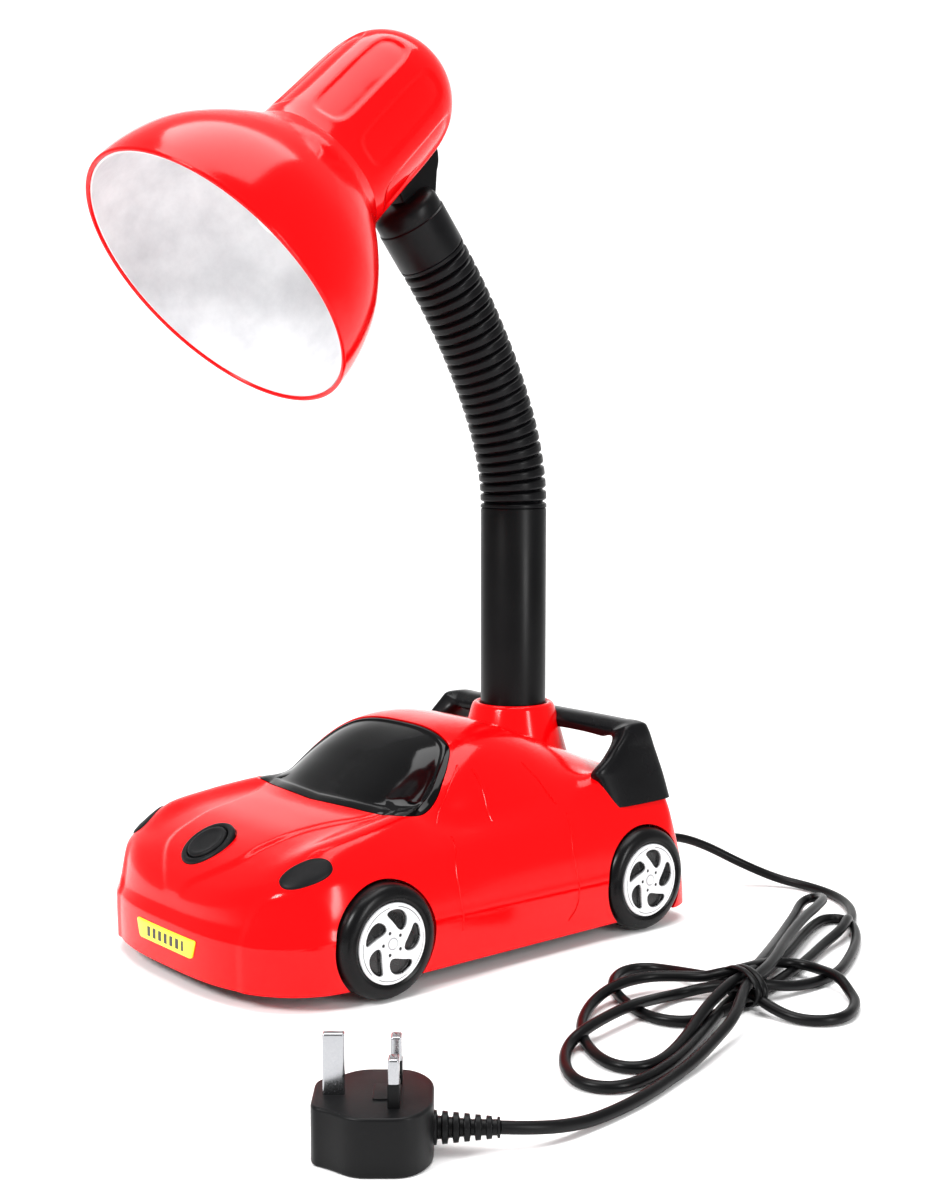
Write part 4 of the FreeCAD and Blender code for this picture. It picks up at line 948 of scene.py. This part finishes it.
HEAD_SIDE = along_x(MOUTH, HEAD_UP)
SLOT_HALF = LUG_WIDTH / 2 + 0.4
SLOT_FAR = 60                   # well past the neck's skin
EAR_R, EAR_WALL = 9, 2.8
slot_line = np.vstack([arc(PIVOT, LUG_R + 1, 90, 270),
                       [(SLOT_FAR, PIVOT[1] - LUG_R - 7), (SLOT_FAR, PIVOT[1] + LUG_R + 1)]])
neck = make_neck()
carve(neck, [rounded_slab("neck_slot", slot_line, -SLOT_HALF, SLOT_HALF, 0.3, HEAD_SIDE)], 40)
finish(neck, RED_ABS, "red_abs", "head", "neck_housing")
finish(make_shade(), RED_ABS, "red_abs", "head", "shade_bell")
finish(make_reflector(), REFLECTOR_WHITE_PAINTED_SHADE, "reflector_white", "head", "reflector_liner")
for side, word in ((1, "left"), (-1, "right")):
    ear = np.vstack([arc(PIVOT, EAR_R, 90, 270, 16), PIVOT + [5, -EAR_R], PIVOT + [5, EAR_R]])
    near, far = sorted((side * SLOT_HALF, side * (SLOT_HALF + EAR_WALL)))
    finish(rounded_slab("neck_ear_" + word, ear, near, far, 0.4, HEAD_SIDE), RED_ABS, "red_abs", "head")

# knuckle: a cap on the last link with a round lug
LINK_SIDE = along_x(NECK[-1], LAST_UP)
CREASE = HALF_LINK + TOP_SLEEVE
pivot_row = HEAD_SIDE(np.array([[*PIVOT, 0.0]]))[0] - NECK[-1]
lug_at = np.array([pivot_row @ np.cross(LAST_UP, [1.0, 0, 0]), pivot_row @ LAST_UP])
cap = [(CREASE - 2, 0), (CREASE - 2, STEM_R - 0.9), (CREASE, STEM_R - 0.4), (CREASE + 1, STEM_R - 0.2),
       (CREASE + 6, STEM_R - 0.4), (CREASE + 8.5, STEM_R - 1.6), (CREASE + 10.2, STEM_R - 4.5),
       (CREASE + 10.8, STEM_R - 8), (CREASE + 11, 0)]
cap = turned("knuckle_cap", cap, frame_at(NECK[-1], LAST_UP, LEFT), 128)
lug_line = np.vstack([[(-4, CREASE + 6), (17, CREASE + 2)], arc(lug_at, LUG_R, -58, 160, 40)])
lug = rounded_slab("knuckle_lug", lug_line, -LUG_WIDTH / 2, LUG_WIDTH / 2, 1.4, LINK_SIDE)
finish(cap, STEM_BLACK, "black_gloss_plastic", "link_6")
finish(lug, STEM_BLACK, "black_gloss_plastic", "link_6", "knuckle")

# ---- wheels -------------------------------------------------------------------------------------
HUB_R = 18.9
HUB_OUT = TYRE_OUT_X + 0.4
HUB_THICK = 4
WINDOWS = 5
WINDOW_DEPTH = 2.2
WINDOW_R, WINDOW_REACH = 11.6, 4.5      # middle of a window and half its radial length
LUG_HOLE_R = 5.4
TYRE_LINE = [(74, 17.2), (74, 24.5), (74.5, 25.8), (76, 26.7), (78, 27), (86.5, 27), (88.4, 26.6), (90.2, 25.6),
             (91.3, 24.2), (91.8, 22.8), (92, 21.4), (91.95, 20.6), (91.5, 20.1), (91.3, 19.6), (91.0, 19.0),
             (89.6, 19.0), (89.6, 17.2), (74, 17.2)]


def window_level(radius, angle):
    """Share of the way into a wheel window, and into the marks round it.

    A window is a superellipse in swept angle and radius, wider towards the rim; the marks are a hole
    between two windows, a ring round the centre cap and a groove near the rim.
    """
    step = 2 * np.pi / WINDOWS
    swept = angle - math.radians(16) * (radius - 12) / 5
    off = (np.mod(swept + step / 2, step) - step / 2) * radius
    half = 2.4 + 4.3 * np.clip((radius - 7.0) / 7.5, 0, 1.2)
    level = (np.abs(off / half) ** 2.6 + np.abs((radius - WINDOW_R) / WINDOW_REACH) ** 2.6) ** (1 / 2.6)
    window = 1 - ramp(level, 0.90, 1.02)
    lug_off = (np.mod(angle, step) - step / 2) * radius
    hole = 1 - ramp(np.hypot(lug_off, radius - LUG_HOLE_R), 0.7, 1.0)
    groove = (1 - ramp(np.abs(radius - 17.3), 0.14, 0.3)) * ramp(np.abs(off), 2.0, 3.0)
    groove = np.maximum(groove, 0.7 * (1 - ramp(np.abs(radius - 2.6), 0.2, 0.45)))
    return window, np.maximum(hole, 0.8 * groove)


def make_hub(name, side, hub):
    """Wheel trim: a shallow dish whose face sinks at the windows, as (radius, angle) rings.

    The attribute "window" is 1 on a window's floor and walls and on the marks, for the print.
    """
    line = np.append(np.linspace(0.15, HUB_R, 100), [HUB_R, 0.15])
    radius, angle = lathe_grid(np.stack([0 * line, line], -1), 300)[1:]
    window, marks = window_level(radius, angle + math.radians(90))
    face = HUB_OUT - 0.5 + 0.5 * ramp(radius, 14, 17.5) - 0.7 * ramp(radius, 18.2, 18.9)
    face = face + 0.5 * (1 - ramp(radius, 1.8, 2.8)) - WINDOW_DEPTH * window - 0.5 * marks
    face[-2:] = HUB_OUT - HUB_THICK
    grid = np.stack([radius * np.cos(angle), radius * np.sin(angle), face], -1)
    place = frame_at(hub, (side, 0, 0), (0, 0, 1))
    piece = skin(name, place(grid.reshape(-1, 3)).reshape(grid.shape), sharp=60)
    spots = np.zeros(len(piece.data.vertices) * 3)
    piece.data.vertices.foreach_get("co", spots)
    spots = spots.reshape(-1, 3) / MM - hub
    turn = np.arctan2(spots @ np.cross([side, 0, 0], [0, 0, 1.0]), spots[:, 2])
    window, marks = window_level(np.hypot(spots[:, 1], spots[:, 2]), turn + math.radians(90))
    dark = np.maximum(ramp(window, 0.02, 0.35), marks) * (spots[:, 0] * side > HUB_OUT - 3.5)
    mask = piece.data.attributes.new("window", "FLOAT", "POINT")
    mask.data.foreach_set("value", dark.astype(np.float32))
    return piece


for side, hub in wheel_places():
    word = ("front_" if hub[1] < 0 else "rear_") + ("left" if side > 0 else "right")
    tyre = turned("tyre_skin_" + word, TYRE_LINE, frame_at(hub, (side, 0, 0), (0, 0, 1)), 144, 50)
    finish(tyre, TYRE_BLACK, "tyre_plastic", "base", "tyre_" + word)
    finish(make_hub("hub_trim_" + word, side, hub), TRIM, "hub_plastic", "base", "hub_" + word)

# ---- wing ----------------------------------------------------------------------------------------
# height, station of the fin's front and rear edges
FIN_FRONT = [(66, 152), (72, 150), (80, 146), (84, 143.6), (86.5, 146.5), (90, 152), (95, 158),
             (100, 163.5), (104, 167)]
FIN_REAR = [(66, 195.8), (78, 193), (104, 184.2), (106, 183.6)]
BAR_FRONT, BAR_REAR = 167.5, 184.0
BAR_DROP = 3.2                  # of the bar's front edge below its rear edge
# half width, height of the blade's outer and inner lines in the front view
WING_OUTER = [(83.5, 66), (78.6, 94), (76.8, 104.2), (75.6, 106.6), (73.2, 107.2), (60, 107.4), (0, 107.6)]
WING_INNER = [(71.5, 66), (68.6, 88), (67.2, 93.5), (64.8, 97.6), (60, 99.8), (52, 100.6), (0, 100.8)]
WING_POWER = 3.4


def make_wing():
    """Rear wing: a blade section carried up one fin, across the bar and down the other.

    The blade lies between an outer and an inner line in the front view, and its front and rear edges
    come from the fin's side outline; each section is a superellipse of power WING_POWER.
    """
    outer, inner = smooth_line(WING_OUTER, 90), smooth_line(WING_INNER, 90)
    outer = np.vstack([outer, (outer[:-1] * [-1, 1])[::-1]])
    inner = np.vstack([inner, (inner[:-1] * [-1, 1])[::-1]])
    level = (outer[:, 1] + inner[:, 1]) / 2
    fin = ramp(np.abs(outer[:, 0] + inner[:, 0]) / 2, 60, 70)
    front = BAR_FRONT + (through(level, FIN_FRONT) - BAR_FRONT) * fin
    rear = BAR_REAR + (through(level, FIN_REAR) - BAR_REAR) * fin
    t = np.linspace(0, 2 * np.pi, 56, endpoint=False)
    fore = np.sign(np.cos(t)) * np.abs(np.cos(t)) ** (2 / WING_POWER)
    over = np.sign(np.sin(t)) * np.abs(np.sin(t)) ** (2 / WING_POWER)
    middle, reach = (outer + inner) / 2, (outer - inner) / 2
    cross_line = middle[:, None] + reach[:, None] * over[None, :, None]
    station = ((front + rear) / 2)[:, None] + ((rear - front) / 2)[:, None] * fore[None]
    drop = BAR_DROP * (1 - fin)[:, None] * ramp(-fore, 0.0, 1.0)[None]
    grid = np.stack([cross_line[..., 0], station, cross_line[..., 1] - drop], -1)
    return skin("wing_blade", to_row(grid), sharp=45)


finish(make_wing(), WING_BLACK, "black_gloss_plastic", "base", "rear_wing")

# ---- switch and number plate ------------------------------------------------------------------------
bezel = [(-3, 13.1), (-0.2, 13.1), (-0.2, 14.3), (0.7, 14.2), (1.4, 13.6), (1.7, 12.8), (1.7, 11.9),
         (1.3, 11.2), (0.5, 10.85), (-3, 10.8), (-3, 13.1)]
button = [(-10.5, 0), (-10.5, 4), (-3, 4), (-3, 10.5), (1.2, 10.45), (1.9, 10.2), (2.3, 9.6), (2.4, 8.8),
          (2.3, 8.1), (2.0, 7.5), (1.9, 5), (1.85, 0)]
finish(turned("switch_ring", bezel, SWITCH_PLACE, 112, 50), MATT_BLACK, "black_matte_plastic",
       "base", "switch_bezel")
finish(turned("switch_cap", button, SWITCH_PLACE, 112, 50), MATT_BLACK, "black_matte_plastic",
       "button", "switch_button")


PLATE_SHARES = [(0.02, 0.9), (0.3, 0.9), (0.6, 0.9), (0.8, 0.9), (0.96, 0.88), (0.99, 0.75), (1, 0.5), (1, -0.6),
                (0.02, -0.6)]
plate_line = soft_polygon([(-24, 17), (24, 17), (27, 26), (-27, 26)], 2.0, 12)
plate = laid_patch("number_plate_print", (0, -10, 0), (0, -1, 0), plate_line, PLATE_SHARES)
finish(plate, PLATE, "yellow_plastic", "base", "number_plate")

# ---- plug and tie -------------------------------------------------------------------------------------
PLUG_TURN = math.radians(49.7)
CABLE_WAY = np.array([math.cos(PLUG_TURN), math.sin(PLUG_TURN), 0])
RELIEF, RELIEF_R, RELIEF_RIBS = 24.0, 6.2, 6
PLUG_HALF, PLUG_LENGTH, PLUG_HIGH = 23.5, 44.0, 22.0
PIN_STAND = 3.0                 # depth of the pins in the plug
PLUG_ORIGIN = np.array(TAIL_ROUTE[-1]) * [1, 1, 0] - CABLE_WAY * RELIEF
PLUG = frame_at(PLUG_ORIGIN, UP, CABLE_WAY)     # coordinates (towards the cable, across, up)
edge = [(0, 11), (-4, 19), (-10, PLUG_HALF), (-28, PLUG_HALF), (-PLUG_LENGTH + 6, PLUG_HALF - 8),
        (-PLUG_LENGTH, PLUG_HALF - 11)]
plug_line = soft_polygon(edge + [(x, -y) for x, y in reversed(edge)], 5.0, 8)
plug_body = rounded_slab("plug_shell", plug_line, 0, PLUG_HIGH, 1.2, PLUG, 30, 5)
plug_cover = rounded_slab("plug_fuse_lid", soft_polygon([(-22, -7), (-12, -7), (-12, 7), (-22, 7)], 1.2), 18,
                          PLUG_HIGH + 0.7, 0.4, PLUG)
plug_shell = finish(plug_body, PLUG_BLACK, "cord_pvc", "base", "plug_body")
fuse_lid = finish(plug_cover, PLUG_BLACK, "cord_pvc", "base", "plug_fuse_cover")


def pin(name, x, y, half_x, half_y, high):
    """One plug pin: a bar with a rounded tip, high above the plug's face."""
    line = soft_polygon([(x - half_x, y - half_y), (x + half_x, y - half_y), (x + half_x, y + half_y),
                         (x - half_x, y + half_y)], 0.9)
    return rounded_slab(name, line, PLUG_HIGH - PIN_STAND, PLUG_HIGH + high, 0.9, PLUG)


EARTH_X, LIVE_X, LIVE_Y = -36.2, -14.0, 11.1
pins = [pin("pin_earth", EARTH_X, 0, 4, 2, 22.7)]
sleeves = []
for y in (-LIVE_Y, LIVE_Y):
    pins.append(pin("pin_live", LIVE_X, y, 2, 3.2, 17.7))
    sleeves.append(pin("pin_sleeve", LIVE_X, y, 2.25, 3.45, 9))
plug_pins = finish(join("plug_pin_bars", pins), NICKEL, "brass", "base", "plug_pins")
pin_sleeves = finish(join("plug_pin_sleeves", sleeves), PLUG_BLACK, "cord_pvc", "base")


def relief_profile():
    """Tapering relief with ribs: the radius falls evenly along it and dips between the ribs, where a
    cosine wave is high."""
    t = np.linspace(0, 1, 121)
    wave = 0.5 - 0.5 * np.cos(2 * np.pi * RELIEF_RIBS * t)
    radius = RELIEF_R - 2.5 * t - 1.9 * ramp(wave, 0.45, 0.75)
    line = np.stack([t * RELIEF, np.maximum(radius, CORD_R + 0.4)], -1)
    return np.vstack([[(-2, 0), (-2, RELIEF_R)], line, [(RELIEF, 0)]])


relief = turned("plug_relief_ribs", relief_profile(),
                frame_at(PLUG_ORIGIN + [0, 0, TAIL_ROUTE[-1][2]], CABLE_WAY, UP), 64, 50)
finish(relief, PLUG_BLACK, "cord_pvc", "base", "plug_relief")

TIE = np.array([198.0, 60.0, 9.0])
TIE_TURN = math.radians(-17)
TIE_HALF, TIE_HALF_HIGH = 14.5, 8.0
TIE_THICK, TIE_WIDTH = 0.8, 1.6         # half sizes of the band


def make_tie():
    """Wire tie round the strands: an elliptic band section carried round an ellipse, twice side by side."""
    t = np.linspace(0, 2 * np.pi, 72, endpoint=False)
    u = np.linspace(0, 2 * np.pi, 14, endpoint=False)[None, :, None]
    way = np.stack([np.cos(t), 0 * t, np.sin(t)], -1)
    place = frame_at(TIE, UP, (math.cos(TIE_TURN), math.sin(TIE_TURN), 0))
    pieces = []
    for shift in (-1.7, 1.7):
        ring = way * [TIE_HALF, 0, TIE_HALF_HIGH] + [0, shift, 0]
        across = TIE_WIDTH * np.sin(u) * np.array([0, 1.0, 0])
        band = ring[:, None] + TIE_THICK * np.cos(u) * way[:, None] + across
        pieces.append(skin("tie_turn", place(band.reshape(-1, 3)).reshape(band.shape), along=True, sharp=60))
    return join("cord_tie_band", pieces)


tie = finish(make_tie(), CORD_BLACK, "cord_pvc", "base", "cord_tie")

# ---- CAD pieces that stay showing ------------------------------------------------------------------------
KEPT = {
    MATT_BLACK: ["switch_body", "base_plate", "cord_gland"],
    STEEL: ["base_screws", "weight_screws", "wheel_pegs", "stem_nut", "stem_spigot", "pivot_bolt", "pivot_nut"],
    IRON: ["counterweight"],
    RUBBER: ["rubber_feet"],
    ARM_NYLON: ["arm_%d" % i for i in range(7)],
    LAMP_WHITE: ["lampholder"],
    BRASS: ["holder_contacts", "bulb_cap"],
    OPAL: ["bulb_glass"],
}
for material, names in KEPT.items():
    for name in names:
        for place in frame["nodes"][name].material_slots:
            place.material = material

# ---- room ----------------------------------------------------------------------------------------------
FLOOR_ROWS, FLOOR_COLUMNS = 80, 30


def make_floor():
    """Pale floor sheet that curves up far behind the lamp, as a power of the distance past its bend."""
    along = np.linspace(-3000, 2600, FLOOR_ROWS)
    height = 2600 * np.clip((along - 900) / 1700, 0, 1) ** 2.2
    turn = math.radians(CAMERA_TURN)
    across = np.linspace(-5000, 5000, FLOOR_COLUMNS)
    a, b = np.meshgrid(along, across, indexing="ij")
    x, y = -math.sin(turn) * a + math.cos(turn) * b, math.cos(turn) * a + math.sin(turn) * b
    points = np.stack([x, y, height[:, None] + 0 * b], -1).reshape(-1, 3)
    mesh = bpy.data.meshes.new("floor")
    faces = grid_faces(FLOOR_ROWS, FLOOR_COLUMNS, False)[:, ::-1]
    mesh.from_pydata((points * MM).tolist(), [], faces.tolist())
    floor = bpy.data.objects.new("floor", mesh)
    bpy.context.scene.collection.objects.link(floor)
    mesh.shade_smooth()
    material, tree, shader, place = new_material("paper_white_backdrop")
    grain = noise(tree, place, 300.0)
    tree.links.new(mixed(tree, grain, "#FAFAFA", "#FDFDFD"), shader.inputs["Base Color"])
    shader.inputs["Roughness"].default_value = 0.6
    shader.inputs["Specular IOR Level"].default_value = 0.2
    mesh.materials.append(material)


def make_light(name, place, aim, width, height, watts):
    """Rectangular softbox at a place, pointing at another."""
    data = bpy.data.lights.new(name, "AREA")
    data.shape, data.size, data.size_y, data.energy = "RECTANGLE", width * MM, height * MM, watts
    light = bpy.data.objects.new(name, data)
    place, aim = Vector(place) * MM, Vector(aim) * MM
    light.location = place
    light.rotation_euler = (aim - place).to_track_quat("-Z", "Y").to_euler()
    bpy.context.scene.collection.objects.link(light)


def make_room():
    """White surround, a key softbox ahead of the car, a narrow strip on its left and a wide top light."""
    world = bpy.data.worlds.new("studio")
    world.use_nodes = True
    background = world.node_tree.nodes["Background"]
    background.inputs["Color"].default_value = (1, 1, 1, 1)
    background.inputs["Strength"].default_value = 0.45
    bpy.context.scene.world = world
    make_light("key", (100, -1500, 1250), (0, 0, 150), 420, 520, 30)
    make_light("strip", (1500, 150, 600), (0, 0, 200), 160, 800, 12)
    make_light("top", (-100, 100, 1900), (0, 0, 0), 1500, 1500, 42)
    scene = bpy.context.scene
    scene.view_settings.view_transform = "Standard"
    scene.view_settings.look = "None"


make_floor()
make_room()
